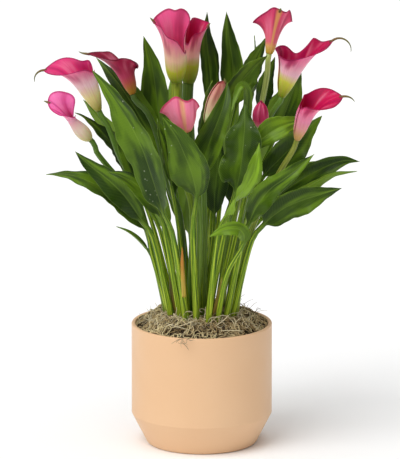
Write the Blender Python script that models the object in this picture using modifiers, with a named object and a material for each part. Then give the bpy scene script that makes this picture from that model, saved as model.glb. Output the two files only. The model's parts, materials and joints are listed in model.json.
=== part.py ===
"""A potted calla lily: one ceramic pot, soil, moss, leaves and blooms.

The origin is the middle of the pot's underside, +Z is up, and the side that is
seen first faces -Y. Places on the plant are written as a viewer in front reads
them: millimetres across, millimetres up the picture, and millimetres away from
the viewer. seen() turns them into metres.
"""

import math
from collections import namedtuple

import bmesh
import bpy
from mathutils import Matrix, Quaternion, Vector

MM = 0.001

# Pot
POT_RADIUS = 80 * MM
POT_HEIGHT = 140 * MM
POT_WALL = 4.5 * MM
POT_FLOOR = 6 * MM
FOOT_RADIUS = 62 * MM
CHAMFER_TOP = 35.4 * MM
FOOT_ROUND = 5 * MM
RIM_ROUND = 1.2 * MM
POT_SIDES = 40

# Soil and moss
GAP = 0.3 * MM
MERGE = 0.02 * MM
SOIL_TOP = 126 * MM
SOIL_DOME = 2 * MM
HOLE_GAP = 0.5 * MM
MOSS_INNER = 47.5 * MM
MOSS_THIN = 11 * MM
MOSS_THICK = 17 * MM
MOSS_LUMP = 3 * MM
MOSS_RINGS = (0.0, 0.12, 0.4, 0.7, 0.92, 1.0)
MOSS_EDGE_SHARE = 0.7
MOSS_SPOKES = 40

# Steps between two points of a path
PATH_STEPS = 12

# Clump: where the stems and leaf stalks stand in the soil
ROOT_DEPTH = 8 * MM
CLUMP_TOP = 150 * MM
CLUMP_RADIUS = 37.5 * MM
CLUMP_PITCH = 10.4 * MM
CLUMP_SHARE = 0.42
CLUMP_LEAN = 0.62
CLUMP_ROUNDS = 300
CUTTER_LENGTH = 16 * MM
CUTTER_CORNER = 1.14

# Leaves
BLADE_THICK = 0.9 * MM
MARGIN_THICK = 0.7 * MM
STALK_RADIUS = 3.8 * MM
STALK_TOP_RADIUS = 2.5 * MM
STALK_STEPS = 4
BLADE_SKEW = 0.76
BLADE_FULLNESS = 0.95
FRILL = 0.02
SIDE_LAG = 0.9
TIP_WIDTH = 0.8 * MM
BLADE_STEPS = (0.05, 0.14, 0.26, 0.38, 0.5, 0.62, 0.74, 0.86, 0.95, 1.0)

# Blooms
STEM_RADIUS = 3.6 * MM
NECK_RADIUS = 2.6 * MM
STOUT_NECKS = {"bloom_04": 5.4 * MM, "bloom_05": 5.8 * MM}
NECK_WALL = 0.8 * MM
NECK_LENGTH = 9 * MM
STEM_STEPS = 7
SPATHE_THICK = 0.9 * MM
SPATHE_ANGLES = (-179, -145, -113, -84, -56, -32, -13, 0, 13, 32, 56, 84, 113, 145, 179)
SPATHE_SPIRAL = 2.0 * MM
SPATHE_STEPS = (0.0, 0.45, 1.0, 1.3, 1.6, 1.85, 2.0)
TAIL_STEPS = (2.2, 2.4, 2.6, 2.8, 3.0)
TAIL_WIDTH = 2.6 * MM
TAIL_END_WIDTH = 1.0 * MM
TAIL_WIDEST = 0.6
SPATHE_LEAST_RADIUS = 1.0 * MM
SPATHE_STRIDE = 1.2 * MM
CONE_POWER = 3
FLARE_START = 0.8
FLARE_POWER = 1.3
ROLL_START = 0.6
TIP_STEEPNESS = 1.5
SPADIX_RADIUS = 2.9 * MM
SPADIX_SHARE = 0.75
SPADIX_SHAPE = ((0.25, 0.75), (0.6, 0.9), (0.9, 0.75), (1.0, 0.3))

# Edges sharper than this are shaded as edges.
SHARP = math.radians(50)

# The eye that the places are read from is this far above the horizon.
EYE_UP = math.radians(13.5)
DEPTH_SPREAD = 1.28
TO_EYE = Vector((0, -math.cos(EYE_UP), math.sin(EYE_UP)))

POT_COLOUR = (0.84, 0.53, 0.34)
SOIL_COLOUR = (0.05, 0.032, 0.02)
MOSS_COLOUR = (0.36, 0.29, 0.19)
LEAF_COLOUR = (0.06, 0.17, 0.03)
STEM_COLOUR = (0.19, 0.34, 0.04)
SPATHE_COLOUR = (0.62, 0.03, 0.16)

Leaf = namedtuple("Leaf", "name width roll path fold wave waves phase stalk")
Bloom = namedtuple("Bloom", "name base axis tip_way tube cone mouth tail ripple stem")


def leaf(name, width, roll, path, fold=0.3, wave=0.0, waves=2, phase=0.0, stalk=1.0):
    """path: a point on the stalk, the blade's start, then the midrib to the tip."""
    return Leaf(name, width, roll, path, fold, wave, waves, phase, stalk)


LEAVES = (
    leaf("leaf_01", 27, (20, 30), ((-56, 214, -25), (-62, 240, -33), (-80, 262, -42), (-101, 281, -49),
                                   (-126, 295, -54), (-150, 303, -54), (-175, 303, -52)),
         0.25, 3, 2, 0.5, 1.2),
    leaf("leaf_02", 29, (10, -15), ((-54, 228, -46), (-67, 250, -52), (-86, 278, -60), (-105, 297, -64),
                                    (-124, 312, -64), (-142, 329, -60)), 0.25, 2.5, 2, 2.0, 1.2),
    leaf("leaf_03", 24, (0, 20), ((-40, 232, -54), (-46, 256, -60), (-58, 277, -68), (-74, 292, -73),
                                  (-90, 301, -75), (-106, 306, -74)), 0.3, 2, 2, 4.0, 1.2),
    leaf("leaf_04", 10, (70, 70), ((-54, 202, 9), (-61, 218, 8), (-72, 230, 6), (-84, 239, 4),
                                   (-97, 245, 4)), 0.3, 0, 1, 0, 0.75),
    leaf("leaf_05", 20, (30, 40), ((-57, 250, 18), (-79, 300, 8), (-97, 332, -6), (-114, 352, -24),
                                   (-130, 366, -26), (-143, 373, -26)), 0.3, 2, 2, 1.0, 0.9),
    leaf("leaf_06", 42, (-38, -30), ((-32, 232, -64), (-42, 258, -76), (-55, 298, -91), (-67, 333, -98),
                                     (-84, 366, -97), (-104, 396, -88), (-122, 419, -78)),
         0.3, 3, 2, 0.0, 1.2),
    leaf("leaf_07", 25, (10, 30), ((-46, 236, -32), (-58, 262, -34), (-72, 300, -44), (-86, 335, -50),
                                   (-97, 365, -52), (-105, 390, -48)), 0.3, 2, 2, 3.0, 0.9),
    leaf("leaf_08", 38, (25, 20), ((-21, 238, 16), (-30, 274, 16), (-46, 322, 16), (-65, 360, 18),
                                   (-87, 396, 25), (-105, 420, 34), (-120, 437, 42)), 0.3, 3, 2, 5.0, 1.0),
    leaf("leaf_09", 31, (-15, -10), ((-28, 270, 32), (-44, 345, 34), (-50, 378, 34), (-53, 405, 32),
                                     (-57, 430, 30), (-62, 448, 30), (-66, 461, 32)), 0.3, 2.5, 2, 1.2, 1.0),
    leaf("leaf_10", 43, (-15, -5), ((-10, 238, -60), (-6, 276, -72), (-10, 300, -84), (-18, 322, -92),
                                    (-27, 342, -97), (-36, 356, -99), (-44, 367, -100)), 0.3, 3, 2, 2.6, 1.2),
    leaf("leaf_11", 12, (50, 50), ((-26, 240, -36), (-34, 288, -46), (-40, 312, -50), (-45, 335, -50),
                                   (-48, 352, -46), (-50, 366, -40)), 0.3, 1.5, 2, 0.0, 0.8),
    leaf("leaf_12", 22, (20, 10), ((4, 300, 24), (9, 380, 30), (10, 408, 32), (8, 432, 32), (5, 462, 32),
                                   (6, 488, 32)), 0.3, 2, 2, 0.8, 0.9),
    leaf("leaf_13", 26, (-15, -10), ((14, 300, 26), (31, 378, 28), (35, 405, 28), (35, 430, 26),
                                     (31, 458, 24), (28, 488, 22)), 0.3, 2, 2, 2.8, 0.9),
    leaf("leaf_14", 14, (75, 78), ((38, 310, 40), (58, 395, 44), (60, 418, 46), (61, 440, 46),
                                   (60, 462, 46)), 0.3, 1, 2, 0.0, 0.8),
    leaf("leaf_15", 23, (20, 20), ((24, 300, 34), (42, 392, 34), (50, 412, 34), (58, 430, 34),
                                   (66, 446, 36), (73, 460, 38)), 0.3, 2, 2, 1.5, 0.9),
    leaf("leaf_16", 29, (20, 30), ((10, 290, -6), (28, 378, -10), (38, 398, -12), (49, 414, -12),
                                   (61, 427, -10), (74, 438, -8)), 0.3, 2, 2, 0.4, 0.9),
    leaf("leaf_17", 31, (-25, 15), ((-4, 250, -36), (-6, 294, -50), (2, 320, -58), (11, 345, -62),
                                    (20, 368, -60), (26, 388, -54), (29, 407, -46)), 0.3, 2.5, 2, 3.6, 1.0),
    leaf("leaf_18", 12, (40, 10), ((38, 262, -34), (48, 350, -45), (51, 376, -47), (50, 397, -50),
                                   (44, 402, -54), (38, 390, -58), (33, 373, -64)), 0.3, 1, 2, 0.0, 0.9),
    leaf("leaf_19", 46, (10, -10), ((26, 240, -56), (38, 284, -66), (43, 308, -76), (46, 334, -80),
                                    (48, 360, -76), (48, 382, -68)), 0.2, 7, 2.5, 3.6, 1.1),
    leaf("leaf_20", 26, (130, -30), ((18, 232, -70), (28, 257, -77), (39, 275, -90), (51, 292, -98),
                                     (58, 308, -99), (62, 323, -97), (64, 338, -93)), 0.3, 2, 2, 4.4, 1.1),
    leaf("leaf_21", 27, (-20, 0), ((47, 270, -44), (61, 331, -55), (73, 347, -58), (88, 356, -55),
                                   (102, 361, -48), (117, 366, -41)), 0.3, 2.5, 2, 2.2, 1.0),
    leaf("leaf_22", 27, (10, 20), ((54, 275, 16), (83, 345, 14), (93, 370, 13), (101, 392, 12),
                                   (107, 410, 10), (112, 427, 8)), 0.3, 2, 2, 0.9, 0.9),
    leaf("leaf_23", 20, (20, 20), ((42, 290, 26), (66, 372, 24), (69, 392, 22), (72, 408, 20),
                                   (77, 423, 18), (83, 437, 16)), 0.3, 1.5, 2, 2.9, 0.9),
    leaf("leaf_24", 35, (10, 20), ((50, 262, 0), (70, 301, -4), (87, 320, -8), (104, 337, -9),
                                   (118, 352, -6), (127, 362, -8), (136, 370, -10)), 0.3, 3, 2, 1.4, 1.0),
    leaf("leaf_25", 25, (5, -10), ((45, 226, -54), (52, 246, -66), (62, 268, -78), (76, 286, -84),
                                   (92, 298, -86), (108, 310, -84), (126, 326, -78)), 0.3, 4, 2, 3.3, 1.2),
    leaf("leaf_26", 30, (15, 10), ((52, 238, -18), (72, 264, -24), (94, 285, -30), (118, 301, -34),
                                   (141, 313, -36), (160, 319, -36), (178, 318, -34)), 0.3, 3, 2, 4.8, 1.1),
    leaf("leaf_27", 13, (150, 140), ((54, 232, -34), (76, 260, -40), (100, 276, -46), (124, 291, -48),
                                     (147, 303, -48), (175, 307, -46)), 0.3, 1, 2, 0.0, 0.9),
    leaf("leaf_28", 33, (10, 15), ((54, 222, -46), (69, 246, -54), (90, 264, -62), (112, 274, -66),
                                   (134, 281, -66), (157, 288, -64)), 0.25, 3, 2, 0.3, 1.2),
    leaf("leaf_29", 17, (20, 0), ((28, 190, -56), (47, 226, -74), (44, 240, -82), (32, 242, -86),
                                  (20, 239, -87), (8, 233, -88)), 0.25, 1.5, 2, 0.0, 1.0),
    leaf("leaf_30", 27, (0, 10), ((13, 232, -4), (14, 258, -12), (15, 286, -16), (18, 316, -18),
                                  (20, 345, -15)), 0.3, 3, 2, 2.2, 0.9),
    leaf("leaf_31", 26, (0, -10), ((22, 236, -4), (32, 270, -4), (38, 298, -4), (43, 325, -4),
                                   (46, 352, -1)), 0.3, 3, 2, 5.2, 0.9),
    leaf("leaf_32", 10, (30, 60), ((-2, 280, -20), (-3, 340, -26), (0, 365, -28), (3, 384, -28),
                                   (7, 398, -26), (12, 409, -24)), 0.4, 1, 2, 0.0, 0.8),
)

# Leaves at the back stand two on a shoot, joined where their stalks leave the soil.
BACK_SHOOTS = (
    ("leaf_pair_33", (
        leaf("left", 34, (170, 160), ((-30, 205, 40), (-38, 236, 50), (-56, 280, 62), (-84, 325, 70),
                                      (-104, 352, 78), (-122, 374, 80), (-136, 390, 76)),
             0.3, 3, 2, 1.0, 1.0),
        leaf("right", 32, (160, 170), ((-22, 212, 50), (-26, 246, 60), (-30, 300, 70), (-31, 355, 76),
                                       (-31, 388, 80), (-30, 416, 78), (-30, 440, 72)),
             0.3, 3, 2, 3.0, 1.0),
    )),
    ("leaf_pair_34", (
        leaf("left", 36, (170, 180), ((-9, 200, 54), (-13, 234, 66), (-16, 272, 82), (-18, 305, 94),
                                      (-18, 330, 104), (-20, 350, 108), (-20, 366, 106)),
             0.3, 3, 2, 2.0, 1.0),
        leaf("right", 32, (190, 180), ((10, 240, 56), (19, 300, 70), (26, 355, 74), (30, 385, 76),
                                       (32, 412, 72), (32, 436, 64)), 0.3, 3, 2, 4.0, 1.0),
    )),
    ("leaf_pair_35", (
        leaf("left", 32, (190, 200), ((32, 238, 58), (48, 282, 70), (64, 335, 78), (76, 364, 82),
                                      (86, 388, 80), (93, 408, 74)), 0.3, 3, 2, 5.0, 1.0),
        leaf("right", 36, (190, 200), ((38, 220, 52), (58, 252, 64), (82, 284, 74), (104, 300, 82),
                                       (126, 312, 84), (148, 318, 80)), 0.3, 3, 2, 0.6, 1.0),
    )),
)

# axis: the way from the base to the mouth. cone: how the tube's wall leans out at its foot and at
# its top, in degrees. mouth: for each angle around from the tip, how far the sheet runs, how many
# degrees it leans out at its rim and how many more its edge rolls. tail: the thin tip's length
# and curl.
BLOOMS = (
    Bloom("bloom_01", (-116, 376, -30), (-21, 45, -6.8), 174, 40, (19, 10),
          ((0, 81, 71, 0), (45, 73, 51, 25), (90, 71, 42, 30), (135, 55, 4, 25),
           (180, 47, 0, 25), (-135, 57, -2, 30), (-90, 59, 18, 25), (-45, 75, 59, 10)),
          (21, 95), 5,
          ((-57, 225, -8), (-78, 295, -18), (-92, 322, -25), (-105, 356, -29))),
    Bloom("bloom_02", (-126, 343, -46), (-25, 27, -14.5), 140, 36, (40, -14),
          ((0, 69, 52, 0), (45, 66, 30, 0), (90, 59, 30, 10), (135, 56, 55, 10),
           (180, 42, 49, 0), (-135, 63, 82, 20), (-90, 69, 63, 20), (-45, 74, 47, 10)),
          (6, 40), 6,
          ((-62, 240, -20), (-85, 288, -29), (-103, 309, -36), (-118, 328, -42))),
    Bloom("bloom_03", (-78, 395, 4), (-10, 28, 3.7), 165, 24, (16, 9),
          ((0, 73, 74, 0), (45, 59, 45, 0), (90, 49, 43, 10), (112, 50, 49, 20),
           (135, 50, 71, 30), (180, 35, 86, 50), (-135, 37, 38, 20), (-90, 37, 8, 0),
           (-66, 43, 16, 0), (-48, 56, 35, 0), (-30, 61, 49, 0)),
          (8, -25), 7,
          ((-24, 250, 2), (-37, 290, 0), (-50, 345, -1), (-62, 374, 0))),
    Bloom("bloom_04", (-29, 410, -2), (-1, 34, -17.1), 158, 38, (24, 2),
          ((0, 81, 34, 0), (45, 83, 6, 10), (90, 75, 17, 20), (135, 58, -19, 10),
           (180, 42, -11, 10), (-160, 55, -9, 10), (-140, 67, 5, 15), (-120, 77, 24, 15),
           (-105, 84, 22, 15), (-90, 87, 14, 15), (-72, 84, 18, 15), (-55, 86, 30, 15),
           (-30, 84, 34, 10)),
          (5, 20), 8,
          ((-11, 260, -6), (-23, 310, -7), (-29, 382, -4))),
    Bloom("bloom_05", (-15, 409, 18), (3, 35, -4.2), 15, 36, (20, -2),
          ((0, 69, 35, 0), (45, 74, 43, 20), (90, 73, -13, 20), (135, 69, -8, 10),
           (180, 50, -2, 0), (-135, 48, -10, 0), (-90, 65, 18, 20), (-45, 68, 8, 20)),
          (4, 20), 8,
          ((-8, 270, 12), (-11, 310, 14), (-16, 379, 18))),
    Bloom("bloom_06", (-18, 350, -80), (-4, 29, 2.0), 273, 8, (60, 30),
          ((0, 43, -22, 0), (20, 41, -5, 10), (45, 42, -11, 30), (90, 33, -10, 60),
           (135, 31, 14, 20), (180, 33, 19, 0), (-135, 34, 3, 10), (-90, 35, 39, 30),
           (-45, 44, 13, 20), (-20, 48, -11, 10)),
          (0, 0), 8,
          ((-2, 240, -52), (-5, 275, -60), (-12, 320, -74))),
    Bloom("bloom_07", (8, 358, -40), (15, 52, -4), 350, 22, (34, 6),
          ((0, 57, -26, 0), (90, 55, -29, 0), (180, 53, -30, 0), (-90, 55, -29, 0)),
          (3, 0), 0,
          ((3, 250, -24), (2, 310, -36), (6, 340, -39))),
    Bloom("bloom_08", (76, 440, 0), (5, 32, 7.1), 280, 14, (14, 7),
          ((0, 56, 38, 0), (20, 54, 34, 10), (45, 55, 28, 10), (90, 47, 41, 20),
           (135, 53, 60, 10), (180, 44, 25, 0), (-135, 39, 33, 10), (-90, 43, 82, 10),
           (-45, 50, 42, 10), (-20, 57, 35, 10)),
          (3, 60), 8,
          ((36, 250, 6), (55, 330, 6), (69, 390, 2), (74, 418, 0))),
    Bloom("bloom_09", (90, 391, -22), (12, 38, -4.1), -11, 36, (19, 12),
          ((0, 91, 45, 0), (22, 78, 27, 0), (45, 75, -5, 10), (90, 52, 19, 20),
           (135, 58, 31, 20), (180, 57, 32, 10), (-135, 51, 33, 10), (-90, 54, 30, 10),
           (-45, 71, 33, 20), (-20, 82, 44, 10)),
          (32, 135), 6,
          ((44, 250, -10), (58, 315, -14), (72, 358, -18), (83, 379, -21))),
    Bloom("bloom_10", (107, 343, -58), (10, 31, -13.2), 3, 34, (14, 7),
          ((0, 79, 66, 0), (22, 74, 67, 5), (45, 71, 71, 10), (90, 55, 18, 10),
           (135, 53, -11, 10), (180, 45, -14, 10), (-135, 46, -16, 10), (-90, 62, 49, 10),
           (-45, 71, 58, 10), (-20, 75, 62, 0)),
          (17, 75), 5,
          ((50, 222, -40), (68, 270, -52), (88, 307, -58), (101, 328, -59))),
    Bloom("bloom_11", (66, 357, -31), (1, 27, -2), 60, 11, (66, 10),
          ((0, 35, -64, 0), (90, 34, -62, 0), (180, 34, -62, 0), (-90, 34, -62, 0)),
          (0, 0), 2,
          ((31, 250, -12), (48, 300, -25), (61, 342, -31))),
)


def seen(place, spread=DEPTH_SPREAD):
    """The point that a viewer in front reads at this place, in metres."""
    across, up, away = place[0], place[1], place[2] * spread
    return Vector((across, away, (up - away * math.sin(EYE_UP)) / math.cos(EYE_UP))) * MM


def smooth_path(points):
    """A curve through all of the points, as closely spaced points."""
    ends = [points[0] * 2 - points[1]] + list(points) + [points[-1] * 2 - points[-2]]
    made = []
    for before, start, end, after in zip(ends, ends[1:], ends[2:], ends[3:]):
        for step in range(PATH_STEPS):
            t = step / PATH_STEPS
            made.append(0.5 * (2 * start + (end - before) * t
                               + (2 * before - 5 * start + 4 * end - after) * t * t
                               + (3 * start - before - 3 * end + after) * t ** 3))
    made.append(points[-1])
    return made


def along(points, shares):
    """The points at these shares of a curve's length."""
    lengths = [0.0]
    for start, end in zip(points, points[1:]):
        lengths.append(lengths[-1] + (end - start).length)
    found = []
    index = 0
    for share in shares:
        wanted = share * lengths[-1]
        while index < len(points) - 2 and lengths[index + 1] < wanted:
            index += 1
        span = lengths[index + 1] - lengths[index]
        found.append(points[index].lerp(points[index + 1], (wanted - lengths[index]) / span))
    return found


def tangents(points):
    """The direction of a curve at each of its points."""
    last = len(points) - 1
    return [(points[min(i + 1, last)] - points[max(i - 1, 0)]).normalized() for i in range(last + 1)]


def clump_roots(targets):
    """Where each stalk stands in the soil: below its own way out, then pushed apart."""
    roots = [Vector(target.xy) * CLUMP_SHARE for target in targets]
    for _ in range(CLUMP_ROUNDS):
        for i, root in enumerate(roots):
            for j in range(i):
                apart = root - roots[j]
                missing = CLUMP_PITCH - apart.length
                if missing > 0:
                    push = apart.normalized() * missing * 0.5
                    root += push
                    roots[j] -= push
        for root in roots:
            if root.length > CLUMP_RADIUS:
                root *= CLUMP_RADIUS / root.length
    return roots


def from_root(root, path):
    """The path with its first stretch, out of the soil and toward its first point."""
    start = Vector((root.x, root.y, SOIL_TOP - ROOT_DEPTH))
    rise = (CLUMP_TOP - start.z) / (path[0].z - start.z)
    lean = (path[0] - start) * rise * CLUMP_LEAN
    return [start, Vector((start.x + lean.x, start.y + lean.y, CLUMP_TOP))] + list(path)


def half_width(spec, share):
    """Half the blade's width at this share of its length: widest below its middle."""
    if share >= 1:
        return 0.0
    frill = 1 + FRILL * spec.wave * math.sin(2 * math.pi * spec.waves * share + spec.phase)
    return spec.width / 2 * MM * math.sin(math.pi * share ** BLADE_SKEW) ** BLADE_FULLNESS * frill


def rise(spec, share, side):
    """How far the blade's margin stands off the midrib's plane: its channel and its waves."""
    width = half_width(spec, share)
    turn = 2 * math.pi * spec.waves * share + spec.phase + (SIDE_LAG if side > 0 else 0.0)
    return spec.fold * width + spec.wave * MM * math.sin(turn) * math.sin(math.pi * share) ** 0.5


def facing(tangent, roll):
    """(side, normal) of a blade that is turned by roll from facing the viewer."""
    normal = (TO_EYE - tangent * TO_EYE.dot(tangent)).normalized()
    normal.rotate(Quaternion(tangent, roll))
    return normal.cross(tangent).normalized(), normal


def leaf_rings(spec, path):
    """Rings of six points: a six-sided stalk that opens into a folded blade."""
    smooth = smooth_path(path)
    split = PATH_STEPS * (len(path) - len(spec.path) + 1)
    stalk = along(smooth[: split + 1], [i / STALK_STEPS for i in range(STALK_STEPS + 1)])
    blade = along(smooth[split:], BLADE_STEPS)
    middles = stalk + blade
    shares = [0.0] * len(stalk) + list(BLADE_STEPS)
    rings = []
    for i, (middle, tangent, share) in enumerate(zip(middles, tangents(middles), shares)):
        roll = math.radians(spec.roll[0] + (spec.roll[1] - spec.roll[0]) * share)
        side, normal = facing(tangent, roll)
        if share == 0:
            down = i / STALK_STEPS
            radius = (STALK_RADIUS * (1 - down) + STALK_TOP_RADIUS * down) * spec.stalk
            corners = [(math.cos(math.radians(a)) * radius, math.sin(math.radians(a)) * radius)
                       for a in (150, 210, 270, 330, 30, 90)]
        else:
            width = max(half_width(spec, share), TIP_WIDTH)
            left = rise(spec, share, -1)
            right = rise(spec, share, 1)
            rib = STALK_TOP_RADIUS * spec.stalk * (1 - share) ** 1.5
            edge = MARGIN_THICK / 2
            corners = [(-width, left + edge), (-width, left - edge), (0, -BLADE_THICK / 2 - rib),
                       (width, right - edge), (width, right + edge), (0, BLADE_THICK / 2)]
        rings.append([middle + side * x + normal * y for x, y in corners])
    return rings


def skin(rings):
    """(points, triangles) around the rings, alike on a blade's two faces, with both ends closed."""
    points = [point for ring in rings for point in ring]
    faces = []
    for ring in range(len(rings) - 1):
        low = 6 * ring
        high = low + 6
        for start in range(6):
            end = (start + 1) % 6
            if start in (1, 4):
                faces += [(low + start, low + end, high + start), (low + end, high + end, high + start)]
            else:
                faces += [(low + start, low + end, high + end), (low + start, high + end, high + start)]
    for low, order in ((0, 1), (6 * (len(rings) - 1), -1)):
        for face in ((0, 5, 1), (1, 5, 2), (2, 5, 4), (2, 4, 3)):
            faces.append(tuple(low + corner for corner in face[::order]))
    return points, faces


def mesh_object(name, points, faces, colour, roughness=0.5):
    mesh = bpy.data.meshes.new(name)
    mesh.from_pydata(points, [], faces)
    tidy = bmesh.new()
    tidy.from_mesh(mesh)
    bmesh.ops.recalc_face_normals(tidy, faces=tidy.faces)
    tidy.to_mesh(mesh)
    tidy.free()
    mesh.shade_smooth()
    mesh.set_sharp_from_angle(angle=SHARP)
    return placed(bpy.data.objects.new(name, mesh), colour, roughness)


def placed(item, colour, roughness):
    """Puts an object in its collection, with a material of its own."""
    material = bpy.data.materials.new(item.name)
    material.use_nodes = True
    surface = material.node_tree.nodes["Principled BSDF"]
    surface.inputs["Base Color"].default_value = (*colour, 1)
    surface.inputs["Roughness"].default_value = roughness
    material.diffuse_color = (*colour, 1)
    item.data.materials.append(material)
    bpy.data.collections["potted_calla_lily"].objects.link(item)
    return item


def turned(name, profile, steps, colour, roughness):
    """A profile turned around the upright axis."""
    mesh = bpy.data.meshes.new(name)
    edges = [(i, i + 1) for i in range(len(profile) - 1)]
    mesh.from_pydata([(radius, 0, height) for radius, height in profile], edges, [])
    item = placed(bpy.data.objects.new(name, mesh), colour, roughness)
    turn = item.modifiers.new("turn", "SCREW")
    turn.steps = steps
    turn.render_steps = steps
    turn.use_merge_vertices = True
    turn.merge_threshold = 0.00001
    turn.use_normal_calculate = True
    turn.use_smooth_shade = True
    return item


def round_corner(before, corner, after, radius, steps):
    """Points of an arc that rounds one corner of a profile."""
    corner = Vector(corner)
    back = (Vector(before) - corner).normalized()
    on = (Vector(after) - corner).normalized()
    half = back.angle(on) / 2
    centre = corner + (back + on).normalized() * radius / math.sin(half)
    first = corner + back * radius / math.tan(half) - centre
    last = corner + on * radius / math.tan(half) - centre
    made = []
    for i in range(steps + 1):
        share = i / steps
        turn = math.pi - 2 * half
        spot = (first * math.sin((1 - share) * turn) + last * math.sin(share * turn)) / math.sin(turn)
        made.append(tuple(centre + spot))
    return made


def pot_inside(height):
    """The radius of the pot's inner face at this height."""
    if height >= CHAMFER_TOP:
        return POT_RADIUS - POT_WALL
    share = height / CHAMFER_TOP
    return FOOT_RADIUS + (POT_RADIUS - FOOT_RADIUS) * share - POT_WALL * 1.1


def make_pot():
    rim_in = (POT_RADIUS - POT_WALL, POT_HEIGHT)
    rim_out = (POT_RADIUS, POT_HEIGHT)
    shoulder = (POT_RADIUS, CHAMFER_TOP)
    foot = (FOOT_RADIUS, 0)
    inner_shoulder = (pot_inside(CHAMFER_TOP), CHAMFER_TOP)
    inner_foot = (pot_inside(POT_FLOOR), POT_FLOOR)
    profile = [(0, POT_FLOOR), inner_foot, inner_shoulder]
    profile += round_corner(inner_shoulder, rim_in, rim_out, RIM_ROUND, 2)
    profile += round_corner(rim_in, rim_out, shoulder, RIM_ROUND, 2)
    profile += [shoulder]
    profile += round_corner(shoulder, foot, (0, 0), FOOT_ROUND, 3)
    profile += [(0, 0)]
    turned("pot", profile, POT_SIDES, POT_COLOUR, 0.45)


def make_soil(cutters):
    edge = pot_inside(CHAMFER_TOP) - GAP
    profile = [(0, SOIL_TOP + SOIL_DOME), (CLUMP_RADIUS + 8 * MM, SOIL_TOP + SOIL_DOME / 2), (edge, SOIL_TOP),
               (edge, CHAMFER_TOP), (pot_inside(POT_FLOOR) - GAP, POT_FLOOR + GAP), (0, POT_FLOOR + GAP)]
    soil = turned("soil", profile, POT_SIDES, SOIL_COLOUR, 0.95)
    for cutter in cutters:
        cut = soil.modifiers.new(cutter.name, "BOOLEAN")
        cut.operation = "DIFFERENCE"
        cut.solver = "EXACT"
        cut.object = cutter
    return soil


def soil_height(radius):
    """The soil's top at this distance from the middle."""
    inner = CLUMP_RADIUS + 8 * MM
    edge = pot_inside(CHAMFER_TOP) - GAP
    if radius < inner:
        return SOIL_TOP + SOIL_DOME - SOIL_DOME / 2 * radius / inner
    return SOIL_TOP + SOIL_DOME / 2 * (edge - radius) / (edge - inner)


def moss_height(radius, angle):
    """The mat's top: thicker toward the stems, lumpy all over."""
    inward = (POT_RADIUS - radius) / (POT_RADIUS - MOSS_INNER)
    lumps = (math.sin(5 * angle + 1.0) + math.sin(11 * angle + 170 * radius / POT_RADIUS)
             + 0.7 * math.sin(17 * angle - 2.0)) / 2.7
    return soil_height(radius) + GAP + MOSS_THIN + (MOSS_THICK - MOSS_THIN) * inward + MOSS_LUMP * lumps


def make_moss():
    outer = pot_inside(CHAMFER_TOP) - 2 * GAP
    radii = [MOSS_INNER + (outer - MOSS_INNER) * share for share in MOSS_RINGS]
    points = []
    faces = []
    ring = 2 * len(radii)
    for spoke in range(MOSS_SPOKES):
        angle = 2 * math.pi * spoke / MOSS_SPOKES
        way = Vector((math.cos(angle), math.sin(angle), 0))
        for i, radius in enumerate(radii):
            top = moss_height(radius, angle)
            if i in (0, len(radii) - 1):
                top = soil_height(radius) + GAP + MOSS_EDGE_SHARE * (top - soil_height(radius))
            points.append(way * radius + Vector((0, 0, top)))
        for radius in reversed(radii):
            points.append(way * radius + Vector((0, 0, soil_height(radius) + GAP)))
        for i in range(ring):
            low = spoke * ring
            high = (spoke + 1) % MOSS_SPOKES * ring
            faces.append((low + i, high + i, high + (i + 1) % ring, low + (i + 1) % ring))
    mesh_object("moss", points, faces, MOSS_COLOUR, 0.95)


def spathe_frame(spec):
    """(base, matrix) of a bloom: its axis as Z, and the way its tip points as X."""
    base = seen(spec.base)
    up = (seen(spec.axis, 1) - seen((0, 0, 0))).normalized()
    azimuth = math.radians(spec.tip_way)
    back = Vector((math.cos(azimuth), math.sin(azimuth), 0))
    back = (back - up * back.dot(up)).normalized()
    turn = Matrix((back, up.cross(back), up)).transposed()
    return base, turn


def smoothstep(low, high, value):
    share = min(max((value - low) / (high - low), 0), 1)
    return share * share * (3 - 2 * share)


def key_slope(keys, index, item):
    """How fast the value changes at a key: steeper at the tip, level at the front."""
    if index == len(keys) - 1:
        return 0.0
    before = keys[max(index - 1, 0)]
    slope = (keys[index + 1][item] - before[item]) / (keys[index + 1][0] - before[0])
    return slope if index else slope * TIP_STEEPNESS


def around(angle, mouth, item):
    """The mouth's value (1 reach, 2 opening, 3 roll) at this angle, run smoothly from key to key."""
    side = 1 if angle >= 0 else -1
    keys = sorted((abs(key[0]),) + key[1:] for key in mouth if key[0] in (0, 180) or key[0] * side > 0)
    turn = min(abs(math.degrees(angle)), 180)
    index = max(i for i in range(len(keys) - 1) if keys[i][0] <= turn)
    width = keys[index + 1][0] - keys[index][0]
    share = (turn - keys[index][0]) / width
    low = keys[index][item]
    rise = keys[index + 1][item] - low
    start = key_slope(keys, index, item) * width
    end = key_slope(keys, index + 1, item) * width
    return (low + start * share + (3 * rise - 2 * start - end) * share ** 2
            + (start + end - 2 * rise) * share ** 3)


def neck_radius(spec):
    """The stem's radius just under the bloom."""
    return STOUT_NECKS.get(spec.name, NECK_RADIUS)


def stem_radius(spec, share):
    """The stem's radius at this share of its length; a stout stem swells near its bloom."""
    swelling = (neck_radius(spec) - NECK_RADIUS) * smoothstep(0.4, 0.9, share)
    return STEM_RADIUS + (NECK_RADIUS - STEM_RADIUS) * share + swelling


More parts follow.
